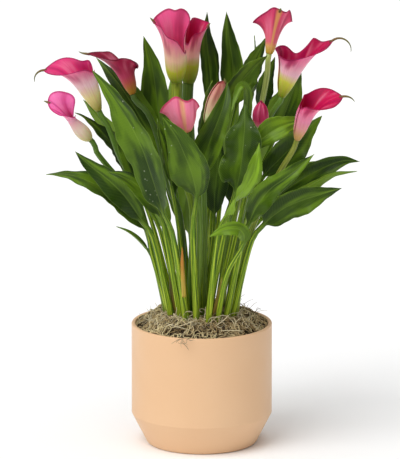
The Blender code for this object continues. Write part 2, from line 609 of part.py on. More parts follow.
def spathe_column(spec, angle, stops):
    """The sheet's line at this angle from its tip, as (radius, height) from the base.

    A stop up to 1 is a share of the tube, from 1 to 2 of the flare and from 2 to 3 of the tail.
    """
    length = around(angle, spec.mouth, 1) * MM
    opening = math.radians(around(angle, spec.mouth, 2))
    roll = math.radians(around(angle, spec.mouth, 3))
    foot, top = [math.radians(lean) for lean in spec.cone]
    tail = spec.tail[0] * MM
    tube = spec.tube * MM
    ruffle = math.radians(spec.ripple) * math.sin(3 * angle + spec.tube)
    radius = neck_radius(spec) + NECK_WALL
    height = 0.0
    travelled = 0.0
    line = []
    for stop in stops:
        wanted = tube * min(stop, 1) + (length - tube) * min(max(stop - 1, 0), 1) + tail * max(stop - 2, 0)
        while travelled < wanted - 1e-9:
            step = min(SPATHE_STRIDE, wanted - travelled)
            middle = travelled + step / 2
            lean = top + (foot - top) * (1 - min(middle / tube, 1)) ** CONE_POWER
            flare = min(max((middle - tube * FLARE_START) / (length - tube * FLARE_START), 0), 1)
            lean += (opening - lean) * flare ** FLARE_POWER + ruffle * flare ** 2
            lean += roll * smoothstep(ROLL_START, 1.0, flare)
            if middle > length:
                lean += math.radians(spec.tail[1]) * (middle - length) / (spec.tail[0] * MM)
            radius += math.sin(lean) * step
            height += math.cos(lean) * step
            travelled += step
        line.append((max(radius, SPATHE_LEAST_RADIUS), height))
    return line


def add_tail(spec, points, faces, tip, rows):
    """A narrow ribbon that runs on from the tip of the sheet's rim."""
    base, turn = spathe_frame(spec)
    widest = min(TAIL_WIDTH, spec.tail[0] * MM * TAIL_WIDEST)
    line = spathe_column(spec, 0, TAIL_STEPS)
    first = len(points)
    for (radius, height), stop in zip(line, TAIL_STEPS):
        half = (widest + (min(TAIL_END_WIDTH, widest) - widest) * (stop - 2)) / 2
        for side in (-half, half):
            points.append(base + turn @ Vector((radius + SPATHE_SPIRAL / 2, side, height)))
    faces += [(tip - rows, tip, first), (tip, first + 1, first), (tip, tip + rows, first + 1)]
    for low in range(first, first + 2 * len(line) - 2, 2):
        faces += [(low, low + 1, low + 3), (low, low + 3, low + 2)]


def make_spathe(spec):
    """A sheet rolled around its stem, open at the mouth, one margin just outside the other in front."""
    base, turn = spathe_frame(spec)
    points = []
    for degrees in SPATHE_ANGLES:
        angle = math.radians(degrees)
        lap = SPATHE_SPIRAL * (degrees / SPATHE_ANGLES[-1] + 1) / 2
        for radius, height in spathe_column(spec, angle, SPATHE_STEPS):
            local = Vector((math.cos(angle) * (radius + lap), math.sin(angle) * (radius + lap), height))
            points.append(base + turn @ local)
    rows = len(SPATHE_STEPS)
    faces = []
    for column in range(len(SPATHE_ANGLES) - 1):
        for row in range(rows - 1):
            low = column * rows + row
            high = low + rows
            if SPATHE_ANGLES[column] < 0:
                faces += [(low, high, high + 1), (low, high + 1, low + 1)]
            else:
                faces += [(low, high, low + 1), (high, high + 1, low + 1)]
    tip = SPATHE_ANGLES.index(0) * rows + rows - 1
    if spec.tail[0]:
        add_tail(spec, points, faces, tip, rows)
    mesh = bpy.data.meshes.new(spec.name + "_spathe")
    mesh.from_pydata(points, [], faces)
    merged = bmesh.new()
    merged.from_mesh(mesh)
    bmesh.ops.remove_doubles(merged, verts=merged.verts, dist=MERGE)
    merged.to_mesh(mesh)
    merged.free()
    mesh.shade_smooth()
    item = placed(bpy.data.objects.new(spec.name + "_spathe", mesh), SPATHE_COLOUR, 0.45)
    wall = item.modifiers.new("wall", "SOLIDIFY")
    wall.thickness = SPATHE_THICK
    wall.offset = 0
    wall.use_even_offset = False


def make_stem(spec, path):
    """A round stem that ends in the bloom's spadix."""
    base, turn = spathe_frame(spec)
    axis = turn @ Vector((0, 0, 1))
    spadix = spec.tube * MM * SPADIX_SHARE
    smooth = smooth_path(path + [base - axis * NECK_LENGTH])
    points = along(smooth, [i / STEM_STEPS for i in range(STEM_STEPS + 1)]) + [base + axis * MM]
    radii = [stem_radius(spec, i / STEM_STEPS) for i in range(STEM_STEPS + 1)]
    radii.append(neck_radius(spec))
    for share, radius in SPADIX_SHAPE:
        points.append(base + axis * spadix * share)
        radii.append(SPADIX_RADIUS * radius)
    curve = bpy.data.curves.new(spec.name + "_stem", "CURVE")
    curve.dimensions = "3D"
    curve.bevel_depth = 1.0
    curve.bevel_resolution = 1
    curve.use_fill_caps = True
    line = curve.splines.new("POLY")
    line.points.add(len(points) - 1)
    for spot, point, radius in zip(line.points, points, radii):
        spot.co = (*point, 1)
        spot.radius = radius
    placed(bpy.data.objects.new(curve.name, curve), STEM_COLOUR, 0.5)


def make_cutter(name, start, end, radius, collection):
    """A six-sided rod a little fatter than the stalk that stands in its hole."""
    radius = (radius + HOLE_GAP) * CUTTER_CORNER
    way = (end - start).normalized()
    below = start - way * HOLE_GAP
    above = start + way * CUTTER_LENGTH
    spin = way.to_track_quat("Z", "Y").to_matrix().to_4x4()
    rod = bmesh.new()
    bmesh.ops.create_cone(rod, cap_ends=True, segments=6, radius1=radius, radius2=radius,
                          depth=(above - below).length)
    mesh = bpy.data.meshes.new(name)
    rod.to_mesh(mesh)
    rod.free()
    item = bpy.data.objects.new(name, mesh)
    item.matrix_world = Matrix.Translation((below + above) / 2) @ spin
    item.hide_render = True
    item.display_type = "WIRE"
    collection.objects.link(item)
    return item


def make_leaf(spec, path, name=None):
    points, faces = skin(leaf_rings(spec, path))
    return mesh_object(name or spec.name, points, faces, LEAF_COLOUR, 0.4)


def make_shoot(name, specs, paths, cutters):
    """Two leaves on one shoot, joined by a union."""
    first = make_leaf(specs[0], paths[0], name)
    second = make_leaf(specs[1], paths[1], name + "_second")
    bpy.data.collections["potted_calla_lily"].objects.unlink(second)
    cutters.objects.link(second)
    second.hide_render = True
    second.display_type = "WIRE"
    union = first.modifiers.new("join", "BOOLEAN")
    union.operation = "UNION"
    union.solver = "EXACT"
    union.object = second


def main():
    for item in list(bpy.data.objects):
        bpy.data.objects.remove(item, do_unlink=True)
    parts = bpy.data.collections.new("potted_calla_lily")
    cutters = bpy.data.collections.new("cutters")
    bpy.context.scene.collection.children.link(parts)
    bpy.context.scene.collection.children.link(cutters)

    leaf_ways = [[seen(place) for place in spec.path] for spec in LEAVES]
    stem_ways = [[seen(place) for place in spec.stem] for spec in BLOOMS]
    shoot_ways = [[[seen(place) for place in spec.path] for spec in pair] for _, pair in BACK_SHOOTS]
    shoot_targets = [(ways[0][0] + ways[1][0]) / 2 for ways in shoot_ways]
    targets = [way[0] for way in leaf_ways] + [way[0] for way in stem_ways] + shoot_targets
    roots = clump_roots(targets)

    rods = []
    for spec, way, root in zip(LEAVES, leaf_ways, roots):
        path = from_root(root, way)
        make_leaf(spec, path)
        rods.append((path[0], path[1], STALK_RADIUS * spec.stalk))
    for spec, way, root in zip(BLOOMS, stem_ways, roots[len(LEAVES):]):
        path = from_root(root, way)
        make_stem(spec, path)
        make_spathe(spec)
        rods.append((path[0], path[1], STEM_RADIUS))
    for (name, pair), ways, root in zip(BACK_SHOOTS, shoot_ways, roots[len(LEAVES) + len(BLOOMS):]):
        paths = [from_root(root, way) for way in ways]
        make_shoot(name, pair, paths, cutters)
        middle = (paths[0][1] + paths[1][1]) / 2
        rods.append((paths[0][0], middle, STALK_RADIUS * 1.2))
    holes = [make_cutter(f"hole_{i:02d}", *rod, cutters) for i, rod in enumerate(rods)]

    make_pot()
    make_soil(holes)
    make_moss()


main()
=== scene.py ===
"""A potted calla lily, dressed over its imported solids.

Each leaf, sheet and stem is made again from the values of its solid, with a round stalk, a waved
blade, a rolled rim and veins. Dried moss lies over the soil. Places on the plant are written as
a viewer in front reads them: millimetres across, up the picture and away from the viewer.
"""

import json
import random
from collections import namedtuple
from math import atan2, cos, degrees, exp, pi, radians, sin, sqrt, tan

import bmesh
import bpy
from mathutils import Matrix, Quaternion, Vector

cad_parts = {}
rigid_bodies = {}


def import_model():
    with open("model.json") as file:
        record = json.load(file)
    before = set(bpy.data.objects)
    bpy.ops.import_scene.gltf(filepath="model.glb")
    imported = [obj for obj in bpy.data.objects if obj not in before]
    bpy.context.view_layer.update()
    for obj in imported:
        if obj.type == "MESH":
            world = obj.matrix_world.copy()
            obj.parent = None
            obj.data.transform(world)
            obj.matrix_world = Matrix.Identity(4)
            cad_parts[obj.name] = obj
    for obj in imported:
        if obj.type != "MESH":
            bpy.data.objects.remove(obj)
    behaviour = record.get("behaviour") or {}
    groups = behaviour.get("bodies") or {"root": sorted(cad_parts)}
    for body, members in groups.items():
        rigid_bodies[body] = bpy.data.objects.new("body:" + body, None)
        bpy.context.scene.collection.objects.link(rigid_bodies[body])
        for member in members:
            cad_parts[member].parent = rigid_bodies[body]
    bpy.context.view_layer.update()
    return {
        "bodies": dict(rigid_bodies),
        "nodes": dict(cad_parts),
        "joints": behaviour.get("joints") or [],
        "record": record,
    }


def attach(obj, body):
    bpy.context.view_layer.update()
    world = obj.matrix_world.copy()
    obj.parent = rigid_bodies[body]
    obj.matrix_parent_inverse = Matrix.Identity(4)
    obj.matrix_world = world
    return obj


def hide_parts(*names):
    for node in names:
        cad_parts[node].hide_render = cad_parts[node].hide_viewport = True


MM = 0.001

# Pot
POT_RADIUS = 80 * MM
POT_HEIGHT = 140 * MM
POT_WALL = 4.5 * MM
POT_FLOOR = 6 * MM
FOOT_RADIUS = 62 * MM
CHAMFER_TOP = 35.4 * MM
FOOT_ROUND = 5 * MM
SHOULDER_ROUND = 3 * MM
RIM_ROUND = 1.6 * MM
POT_SIDES = 160
POT_STEPS = 6
CORNER_STEPS = 5
FOOT_STEPS = 8
CHAMFER_WALL = 1.1 * POT_WALL

# Soil and moss mat
GAP = 0.3 * MM
SOIL_TOP = 126 * MM
SOIL_DOME = 2 * MM
SOIL_MARGIN = 8 * MM
MOSS_INNER = 47.5 * MM
MOSS_THIN = 11 * MM
MOSS_THICK = 17 * MM
MOSS_LUMP = 3 * MM
MOSS_REACH = 74.8 * MM

# Moss strands
STRAND_STEPS = 14
STRAND_SIDES = 4
STRAND_RADIUS = 0.44 * MM
STRAND_PILE = 3.5 * MM
STRAND_ARCH = 3.5 * MM
STRAND_HEAP = 5 * MM
STRAND_FLAT = 0.35
MOSS_SINK = 1.5 * MM

# Clump: where the stems and leaf stalks stand in the soil
ROOT_DEPTH = 8 * MM
CLUMP_TOP = 150 * MM
CLUMP_RADIUS = 37.5 * MM
CLUMP_PITCH = 10.4 * MM
CLUMP_SHARE = 0.42
CLUMP_LEAN = 0.62
CLUMP_ROUNDS = 300

# Leaves
PATH_STEPS = 24
STALK_RADIUS = 3.8 * MM
STALK_TOP_RADIUS = 2.5 * MM
STALK_ROUND = 0.94
STALK_GROOVE = 0.16
GROOVE_SPREAD = 0.4
STALK_STEPS = 14
BLADE_STEPS = 52
BLADE_STOPS = (-1, -0.94, -0.84, -0.7, -0.54, -0.38, -0.24, -0.12, -0.05, 0,
               0.05, 0.12, 0.24, 0.38, 0.54, 0.7, 0.84, 0.94, 1)
BLADE_OPENS = 0.1
BLADE_SKEW = 0.76
BLADE_FULLNESS = 0.95
BLADE_THICK = 0.75 * MM
MARGIN_THICK = 0.35 * MM
CHANNEL_POWER = 1.25
WAVE_POWER = 1.8
RUFFLE = 1.3 * MM
RUFFLES = 7
RUFFLE_POWER = 5
RIB_GROOVE = 0.35 * MM
RIB_WIDTH = 1.3 * MM
RIB_TAPER = 1.5
RIB_LEAST = 0.3 * MM
KEEL_SPREAD = 1.1
FRILL = 0.02
SIDE_LAG = 0.9
TIP_WIDTH = 0.2 * MM

# Blooms
STEM_RADIUS = 3.5 * MM
NECK_RADIUS = 3.1 * MM
STOUT_NECKS = {"bloom_04": 5.9 * MM, "bloom_05": 6.3 * MM}
NECK_WALL = 0.3 * MM
NECK_LENGTH = 9 * MM
STEM_SIDES = 16
STEM_STEPS = 40
SHEATH_STEPS = 24
SPATHE_THICK = 0.6 * MM
SPATHE_TURN = radians(200)
SPATHE_COLUMNS = 80
SPATHE_EVEN = 0.4
SPATHE_SPIRAL = 1.8 * MM
TUBE_ROWS = 12
FLARE_ROWS = 22
TAIL_ROWS = 22
TAIL_SIDES = 10
TAIL_INSET = 1.9
TAIL_RADIUS = 1.25 * MM
TAIL_END = 0.25 * MM
TAIL_TAPER = 0.8
SPATHE_LEAST_RADIUS = 0.6 * MM
SPATHE_STRIDE = 0.8 * MM
CONE_POWER = 3
FLARE_START = 0.8
FLARE_POWER = 1.3
ROLL_START = 0.6
TIP_STEEPNESS = 1.5
SPADIX_RADIUS = 2.7 * MM
SPADIX_SHARE = 0.8
SPADIX_SIDES = 20
SPADIX_ROWS = 40
SPADIX_KNOB = 0.07

# The eye that the places are read from is this far above the horizon.
EYE_UP = radians(13.5)
DEPTH_SPREAD = 1.28
TO_EYE = Vector((0, -cos(EYE_UP), sin(EYE_UP)))

# Camera
PICTURE_MIDDLE = (-2.0, 241.4)
PICTURE_HEIGHT = 521.4 * MM
CAMERA_AWAY = 8.0
SENSOR = 36.0

# Stage
FLOOR_RADIUS = 16.0
FLOOR_SIDES = 96
SKY_STRENGTH = 0.33
KEY_LIGHT = (1.62, (0.70, 0.74, -1.08), 45)
TOP_LIGHT = (1.30, (0.05, 0.15, -1.0), 60)

Leaf = namedtuple("Leaf", "name tone width roll fold wave waves phase stalk path")
Bloom = namedtuple("Bloom", "name base axis tip_way tube cone mouth tail ripple stem")


# Each leaf: its tone (0 is dark, 1 is light), its width, its roll from facing the viewer at its
# foot and tip, its fold, its waves' depth, number and phase, its stalk's share of the usual
# radius, and its path: a point on the stalk, the blade's start, then the midrib to the tip.
LEAVES = (
    Leaf("leaf_01", 0.4, 27, (20, 30), 0.25, 3, 2, 0.5, 1.2,
         ((-56, 214, -25), (-62, 240, -33), (-80, 262, -42), (-101, 281, -49), (-126, 295, -54),
          (-150, 303, -54), (-175, 303, -52))),
    Leaf("leaf_02", 0.4, 29, (10, -15), 0.25, 2.5, 2, 2.0, 1.2,
         ((-54, 228, -46), (-67, 250, -52), (-86, 278, -60), (-105, 297, -64), (-124, 312, -64),
          (-142, 329, -60))),
    Leaf("leaf_03", 0.4, 24, (0, 20), 0.3, 2, 2, 4.0, 1.2,
         ((-40, 232, -54), (-46, 256, -60), (-58, 277, -68), (-74, 292, -73), (-90, 301, -75),
          (-106, 306, -74))),
    Leaf("leaf_04", 0.5, 10, (70, 70), 0.3, 0, 1, 0, 0.75,
         ((-54, 202, 9), (-61, 218, 8), (-72, 230, 6), (-84, 239, 4), (-97, 245, 4))),
    Leaf("leaf_05", 0.4, 20, (30, 40), 0.3, 2, 2, 1.0, 0.9,
         ((-57, 250, 18), (-79, 300, 8), (-97, 332, -6), (-114, 352, -24), (-130, 366, -26),
          (-143, 373, -26))),
    Leaf("leaf_06", 0.4, 42, (-38, -30), 0.3, 3, 2, 0.0, 1.2,
         ((-32, 232, -64), (-42, 258, -76), (-55, 298, -91), (-67, 333, -98), (-84, 366, -97),
          (-104, 396, -88), (-122, 419, -78))),
    Leaf("leaf_07", 0.4, 25, (10, 30), 0.3, 2, 2, 3.0, 0.9,
         ((-46, 236, -32), (-58, 262, -34), (-72, 300, -44), (-86, 335, -50), (-97, 365, -52),
          (-105, 390, -48))),
    Leaf("leaf_08", 0.3, 38, (25, 20), 0.3, 3, 2, 5.0, 1.0,
         ((-21, 238, 16), (-30, 274, 16), (-46, 322, 16), (-65, 360, 18), (-87, 396, 25), (-105, 420, 34),
          (-120, 437, 42))),
    Leaf("leaf_09", 0.6, 31, (-15, -10), 0.3, 2.5, 2, 1.2, 1.0,
         ((-28, 270, 32), (-44, 345, 34), (-50, 378, 34), (-53, 405, 32), (-57, 430, 30), (-62, 448, 30),
          (-66, 461, 32))),
    Leaf("leaf_10", 0.5, 43, (-15, -5), 0.3, 3, 2, 2.6, 1.2,
         ((-10, 238, -60), (-6, 276, -72), (-10, 300, -84), (-18, 322, -92), (-27, 342, -97),
          (-36, 356, -99), (-44, 367, -100))),
    Leaf("leaf_11", 0.6, 12, (50, 50), 0.3, 1.5, 2, 0.0, 0.8,
         ((-26, 240, -36), (-34, 288, -46), (-40, 312, -50), (-45, 335, -50), (-48, 352, -46),
          (-50, 366, -40))),
    Leaf("leaf_12", 0.35, 22, (20, 10), 0.3, 2, 2, 0.8, 0.9,
         ((4, 300, 24), (9, 380, 30), (10, 408, 32), (8, 432, 32), (5, 462, 32), (6, 488, 32))),
    Leaf("leaf_13", 0.4, 26, (-15, -10), 0.3, 2, 2, 2.8, 0.9,
         ((14, 300, 26), (31, 378, 28), (35, 405, 28), (35, 430, 26), (31, 458, 24), (28, 488, 22))),
    Leaf("leaf_14", 0.15, 14, (75, 78), 0.3, 1, 2, 0.0, 0.8,
         ((38, 310, 40), (58, 395, 44), (60, 418, 46), (61, 440, 46), (60, 462, 46))),
    Leaf("leaf_15", 0.4, 23, (20, 20), 0.3, 2, 2, 1.5, 0.9,
         ((24, 300, 34), (42, 392, 34), (50, 412, 34), (58, 430, 34), (66, 446, 36), (73, 460, 38))),
    Leaf("leaf_16", 0.5, 29, (20, 30), 0.3, 2, 2, 0.4, 0.9,
         ((10, 290, -6), (28, 378, -10), (38, 398, -12), (49, 414, -12), (61, 427, -10), (74, 438, -8))),
    Leaf("leaf_17", 0.5, 31, (-25, 15), 0.3, 2.5, 2, 3.6, 1.0,
         ((-4, 250, -36), (-6, 294, -50), (2, 320, -58), (11, 345, -62), (20, 368, -60), (26, 388, -54),
          (29, 407, -46))),
    Leaf("leaf_18", 0.8, 12, (40, 10), 0.3, 1, 2, 0.0, 0.9,
         ((38, 262, -34), (48, 350, -45), (51, 376, -47), (50, 397, -50), (44, 402, -54), (38, 390, -58),
          (33, 373, -64))),
    Leaf("leaf_19", 0.55, 46, (10, -10), 0.2, 7, 2.5, 3.6, 1.1,
         ((26, 240, -56), (38, 284, -66), (43, 308, -76), (46, 334, -80), (48, 360, -76),
          (48, 382, -68))),
    Leaf("leaf_20", 1.3, 26, (130, -30), 0.3, 2, 2, 4.4, 1.1,
         ((18, 232, -70), (28, 257, -77), (39, 275, -90), (51, 292, -98), (58, 308, -99), (62, 323, -97),
          (64, 338, -93))),
    Leaf("leaf_21", 0.9, 27, (-20, 0), 0.3, 2.5, 2, 2.2, 1.0,
         ((47, 270, -44), (61, 331, -55), (73, 347, -58), (88, 356, -55), (102, 361, -48),
          (117, 366, -41))),
    Leaf("leaf_22", 0.3, 27, (10, 20), 0.3, 2, 2, 0.9, 0.9,
         ((54, 275, 16), (83, 345, 14), (93, 370, 13), (101, 392, 12), (107, 410, 10), (112, 427, 8))),
    Leaf("leaf_23", 0.35, 20, (20, 20), 0.3, 1.5, 2, 2.9, 0.9,
         ((42, 290, 26), (66, 372, 24), (69, 392, 22), (72, 408, 20), (77, 423, 18), (83, 437, 16))),
    Leaf("leaf_24", 0.5, 35, (10, 20), 0.3, 3, 2, 1.4, 1.0,
         ((50, 262, 0), (70, 301, -4), (87, 320, -8), (104, 337, -9), (118, 352, -6), (127, 362, -8),
          (136, 370, -10))),
    Leaf("leaf_25", 0.5, 25, (5, -10), 0.3, 4, 2, 3.3, 1.2,
         ((45, 226, -54), (52, 246, -66), (62, 268, -78), (76, 286, -84), (92, 298, -86), (108, 310, -84),
          (126, 326, -78))),
    Leaf("leaf_26", 0.15, 30, (15, 10), 0.3, 3, 2, 4.8, 1.1,
         ((52, 238, -18), (72, 264, -24), (94, 285, -30), (118, 301, -34), (141, 313, -36),
          (160, 319, -36), (178, 318, -34))),
    Leaf("leaf_27", 0.4, 13, (150, 140), 0.3, 1, 2, 0.0, 0.9,
         ((54, 232, -34), (76, 260, -40), (100, 276, -46), (124, 291, -48), (147, 303, -48),
          (175, 307, -46))),
    Leaf("leaf_28", 0.45, 33, (10, 15), 0.25, 3, 2, 0.3, 1.2,
         ((54, 222, -46), (69, 246, -54), (90, 264, -62), (112, 274, -66), (134, 281, -66),
          (157, 288, -64))),
    Leaf("leaf_29", 1.15, 17, (20, 0), 0.25, 1.5, 2, 0.0, 1.0,
         ((28, 190, -56), (47, 226, -74), (44, 240, -82), (32, 242, -86), (20, 239, -87), (8, 233, -88))),
    Leaf("leaf_30", 0.1, 27, (0, 10), 0.3, 3, 2, 2.2, 0.9,
         ((13, 232, -4), (14, 258, -12), (15, 286, -16), (18, 316, -18), (20, 345, -15))),
    Leaf("leaf_31", 0.1, 26, (0, -10), 0.3, 3, 2, 5.2, 0.9,
         ((22, 236, -4), (32, 270, -4), (38, 298, -4), (43, 325, -4), (46, 352, -1))),
    Leaf("leaf_32", 0.6, 10, (30, 60), 0.4, 1, 2, 0.0, 0.8,
         ((-2, 280, -20), (-3, 340, -26), (0, 365, -28), (3, 384, -28), (7, 398, -26), (12, 409, -24))),
)

# Leaves at the back stand two on a shoot, joined where their stalks leave the soil.
BACK_TONE = 0.3
BACK_SHOOTS = (
    ("leaf_pair_33", (
        Leaf("left", BACK_TONE, 34, (170, 160), 0.3, 3, 2, 1.0, 1.0,
             ((-30, 205, 40), (-38, 236, 50), (-56, 280, 62), (-84, 325, 70), (-104, 352, 78),
              (-122, 374, 80), (-136, 390, 76))),
        Leaf("right", BACK_TONE, 32, (160, 170), 0.3, 3, 2, 3.0, 1.0,
             ((-22, 212, 50), (-26, 246, 60), (-30, 300, 70), (-31, 355, 76), (-31, 388, 80),
              (-30, 416, 78), (-30, 440, 72))),
    )),
    ("leaf_pair_34", (
        Leaf("left", BACK_TONE, 36, (170, 180), 0.3, 3, 2, 2.0, 1.0,
             ((-9, 200, 54), (-13, 234, 66), (-16, 272, 82), (-18, 305, 94), (-18, 330, 104),
              (-20, 350, 108), (-20, 366, 106))),
        Leaf("right", BACK_TONE, 32, (190, 180), 0.3, 3, 2, 4.0, 1.0,
             ((10, 240, 56), (19, 300, 70), (26, 355, 74), (30, 385, 76), (32, 412, 72), (32, 436, 64))),
    )),
    ("leaf_pair_35", (
        Leaf("left", BACK_TONE, 32, (190, 200), 0.3, 3, 2, 5.0, 1.0,
             ((32, 238, 58), (48, 282, 70), (64, 335, 78), (76, 364, 82), (86, 388, 80), (93, 408, 74))),
        Leaf("right", BACK_TONE, 36, (190, 200), 0.3, 3, 2, 0.6, 1.0,
             ((38, 220, 52), (58, 252, 64), (82, 284, 74), (104, 300, 82), (126, 312, 84),
              (148, 318, 80))),
    )),
)

# axis: the way from the base to the mouth. cone: how the tube's wall leans out at its foot and at
# its top, in degrees. mouth: for each angle around from the tip, how far the sheet runs, how many
# degrees it leans out at its rim and how many more its edge rolls. tail: the thin tip's length
# and curl.
BLOOMS = (
    Bloom("bloom_01", (-116, 376, -30), (-21, 45, -6.8), 174, 40, (19, 10),
          ((0, 81, 71, 0), (45, 73, 51, 25), (90, 71, 42, 30), (135, 55, 4, 25),
           (180, 47, 0, 25), (-135, 57, -2, 30), (-90, 59, 18, 25), (-45, 75, 59, 10)),
          (21, 95), 5,
          ((-57, 225, -8), (-78, 295, -18), (-92, 322, -25), (-105, 356, -29))),
    Bloom("bloom_02", (-126, 343, -46), (-25, 27, -14.5), 140, 36, (40, -14),
          ((0, 69, 52, 0), (45, 66, 30, 0), (90, 59, 30, 10), (135, 56, 55, 10),
           (180, 42, 49, 0), (-135, 63, 82, 20), (-90, 69, 63, 20), (-45, 74, 47, 10)),
          (6, 40), 6,
          ((-62, 240, -20), (-85, 288, -29), (-103, 309, -36), (-118, 328, -42))),
    Bloom("bloom_03", (-78, 395, 4), (-10, 28, 3.7), 165, 24, (16, 9),
          ((0, 73, 74, 0), (45, 59, 45, 0), (90, 49, 43, 10), (112, 50, 49, 20),
           (135, 50, 71, 30), (180, 35, 86, 50), (-135, 37, 38, 20), (-90, 37, 8, 0),
           (-66, 43, 16, 0), (-48, 56, 35, 0), (-30, 61, 49, 0)),
          (8, -25), 7,
          ((-24, 250, 2), (-37, 290, 0), (-50, 345, -1), (-62, 374, 0))),
    Bloom("bloom_04", (-29, 410, -2), (-1, 34, -17.1), 158, 38, (24, 2),
          ((0, 81, 34, 0), (45, 83, 6, 10), (90, 75, 17, 20), (135, 58, -19, 10),
           (180, 42, -11, 10), (-160, 55, -9, 10), (-140, 67, 5, 15), (-120, 77, 24, 15),
           (-105, 84, 22, 15), (-90, 87, 14, 15), (-72, 84, 18, 15), (-55, 86, 30, 15),
           (-30, 84, 34, 10)),
          (5, 20), 8,
          ((-11, 260, -6), (-23, 310, -7), (-29, 382, -4))),
    Bloom("bloom_05", (-15, 409, 18), (3, 35, -4.2), 15, 36, (20, -2),
          ((0, 69, 35, 0), (45, 74, 43, 20), (90, 73, -13, 20), (135, 69, -8, 10),
           (180, 50, -2, 0), (-135, 48, -10, 0), (-90, 65, 18, 20), (-45, 68, 8, 20)),
          (4, 20), 8,
          ((-8, 270, 12), (-11, 310, 14), (-16, 379, 18))),
    Bloom("bloom_06", (-18, 350, -80), (-4, 29, 2.0), 273, 8, (60, 30),
          ((0, 43, -22, 0), (20, 41, -5, 10), (45, 42, -11, 30), (90, 33, -10, 60),
           (135, 31, 14, 20), (180, 33, 19, 0), (-135, 34, 3, 10), (-90, 35, 39, 30),
           (-45, 44, 13, 20), (-20, 48, -11, 10)),
          (0, 0), 8,
          ((-2, 240, -52), (-5, 275, -60), (-12, 320, -74))),
    Bloom("bloom_07", (8, 358, -40), (15, 52, -4), 350, 22, (34, 6),
          ((0, 57, -26, 0), (90, 55, -29, 0), (180, 53, -30, 0), (-90, 55, -29, 0)),
          (3, 0), 0,
          ((3, 250, -24), (2, 310, -36), (6, 340, -39))),
    Bloom("bloom_08", (76, 440, 0), (5, 32, 7.1), 280, 14, (14, 7),
          ((0, 56, 38, 0), (20, 54, 34, 10), (45, 55, 28, 10), (90, 47, 41, 20),
           (135, 53, 60, 10), (180, 44, 25, 0), (-135, 39, 33, 10), (-90, 43, 82, 10),
           (-45, 50, 42, 10), (-20, 57, 35, 10)),
          (3, 60), 8,
          ((36, 250, 6), (55, 330, 6), (69, 390, 2), (74, 418, 0))),
    Bloom("bloom_09", (90, 391, -22), (12, 38, -4.1), -11, 36, (19, 12),
          ((0, 91, 45, 0), (22, 78, 27, 0), (45, 75, -5, 10), (90, 52, 19, 20),
           (135, 58, 31, 20), (180, 57, 32, 10), (-135, 51, 33, 10), (-90, 54, 30, 10),
           (-45, 71, 33, 20), (-20, 82, 44, 10)),
          (32, 135), 6,
          ((44, 250, -10), (58, 315, -14), (72, 358, -18), (83, 379, -21))),
    Bloom("bloom_10", (107, 343, -58), (10, 31, -13.2), 3, 34, (14, 7),
          ((0, 79, 66, 0), (22, 74, 67, 5), (45, 71, 71, 10), (90, 55, 18, 10),
           (135, 53, -11, 10), (180, 45, -14, 10), (-135, 46, -16, 10), (-90, 62, 49, 10),
           (-45, 71, 58, 10), (-20, 75, 62, 0)),
          (17, 75), 5,
          ((50, 222, -40), (68, 270, -52), (88, 307, -58), (101, 328, -59))),
    Bloom("bloom_11", (66, 357, -31), (1, 27, -2), 60, 11, (66, 10),
          ((0, 35, -64, 0), (90, 34, -62, 0), (180, 34, -62, 0), (-90, 34, -62, 0)),
          (0, 0), 2,
          ((31, 250, -12), (48, 300, -25), (61, 342, -31))),
)


def seen(place, spread=DEPTH_SPREAD):
    """The point that a viewer in front reads at this place, in metres."""
    across, up, away = place[0], place[1], place[2] * spread
    return Vector((across, away, (up - away * sin(EYE_UP)) / cos(EYE_UP))) * MM


def smooth_path(points):
    """A curve through all of the points, as closely spaced points."""
    ends = [points[0] * 2 - points[1]] + list(points) + [points[-1] * 2 - points[-2]]
    made = []
    for before, start, end, after in zip(ends, ends[1:], ends[2:], ends[3:]):
        for step in range(PATH_STEPS):
            t = step / PATH_STEPS
            made.append(0.5 * (2 * start + (end - before) * t
                               + (2 * before - 5 * start + 4 * end - after) * t * t
                               + (3 * start - before - 3 * end + after) * t ** 3))
    made.append(points[-1])
    return made


def even_shares(count):
    """From 0 to 1 in this many equal steps."""
    return [i / count for i in range(count + 1)]


def lengths_along(points):
    """How far along a curve each of its points lies."""
    lengths = [0.0]
    for start, end in zip(points, points[1:]):
        lengths.append(lengths[-1] + (end - start).length)
    return lengths


def along(points, shares):
    """The points at these shares of a curve's length."""
    lengths = lengths_along(points)
    found = []
    index = 0
    for share in shares:
        wanted = share * lengths[-1]
        while index < len(points) - 2 and lengths[index + 1] < wanted:
            index += 1
        gap = lengths[index + 1] - lengths[index]
        found.append(points[index].lerp(points[index + 1], (wanted - lengths[index]) / gap))
    return found


def tangents(points):
    """The direction of a curve at each of its points."""
    last = len(points) - 1
    return [(points[min(i + 1, last)] - points[max(i - 1, 0)]).normalized() for i in range(last + 1)]


def clump_roots(targets):
    """Where each stalk stands in the soil: below its own way out, then pushed apart."""
    roots = [Vector(target.xy) * CLUMP_SHARE for target in targets]
    for _ in range(CLUMP_ROUNDS):
        for i, root in enumerate(roots):
            for j in range(i):
                apart = root - roots[j]
                missing = CLUMP_PITCH - apart.length
                if missing > 0:
                    push = apart.normalized() * missing * 0.5
                    root += push
                    roots[j] -= push
        for root in roots:
            if root.length > CLUMP_RADIUS:
                root *= CLUMP_RADIUS / root.length
    return roots


def from_root(root, path):
    """The path with its first stretch, out of the soil and toward its first point."""
    start = Vector((root.x, root.y, SOIL_TOP - ROOT_DEPTH))
    rise = (CLUMP_TOP - start.z) / (path[0].z - start.z)
    lean = (path[0] - start) * rise * CLUMP_LEAN
    return [start, Vector((start.x + lean.x, start.y + lean.y, CLUMP_TOP))] + list(path)


def smoothstep(low, high, value):
    t = min(max((value - low) / (high - low), 0.0), 1.0)
    return t * t * (3 - 2 * t)


# Node helpers

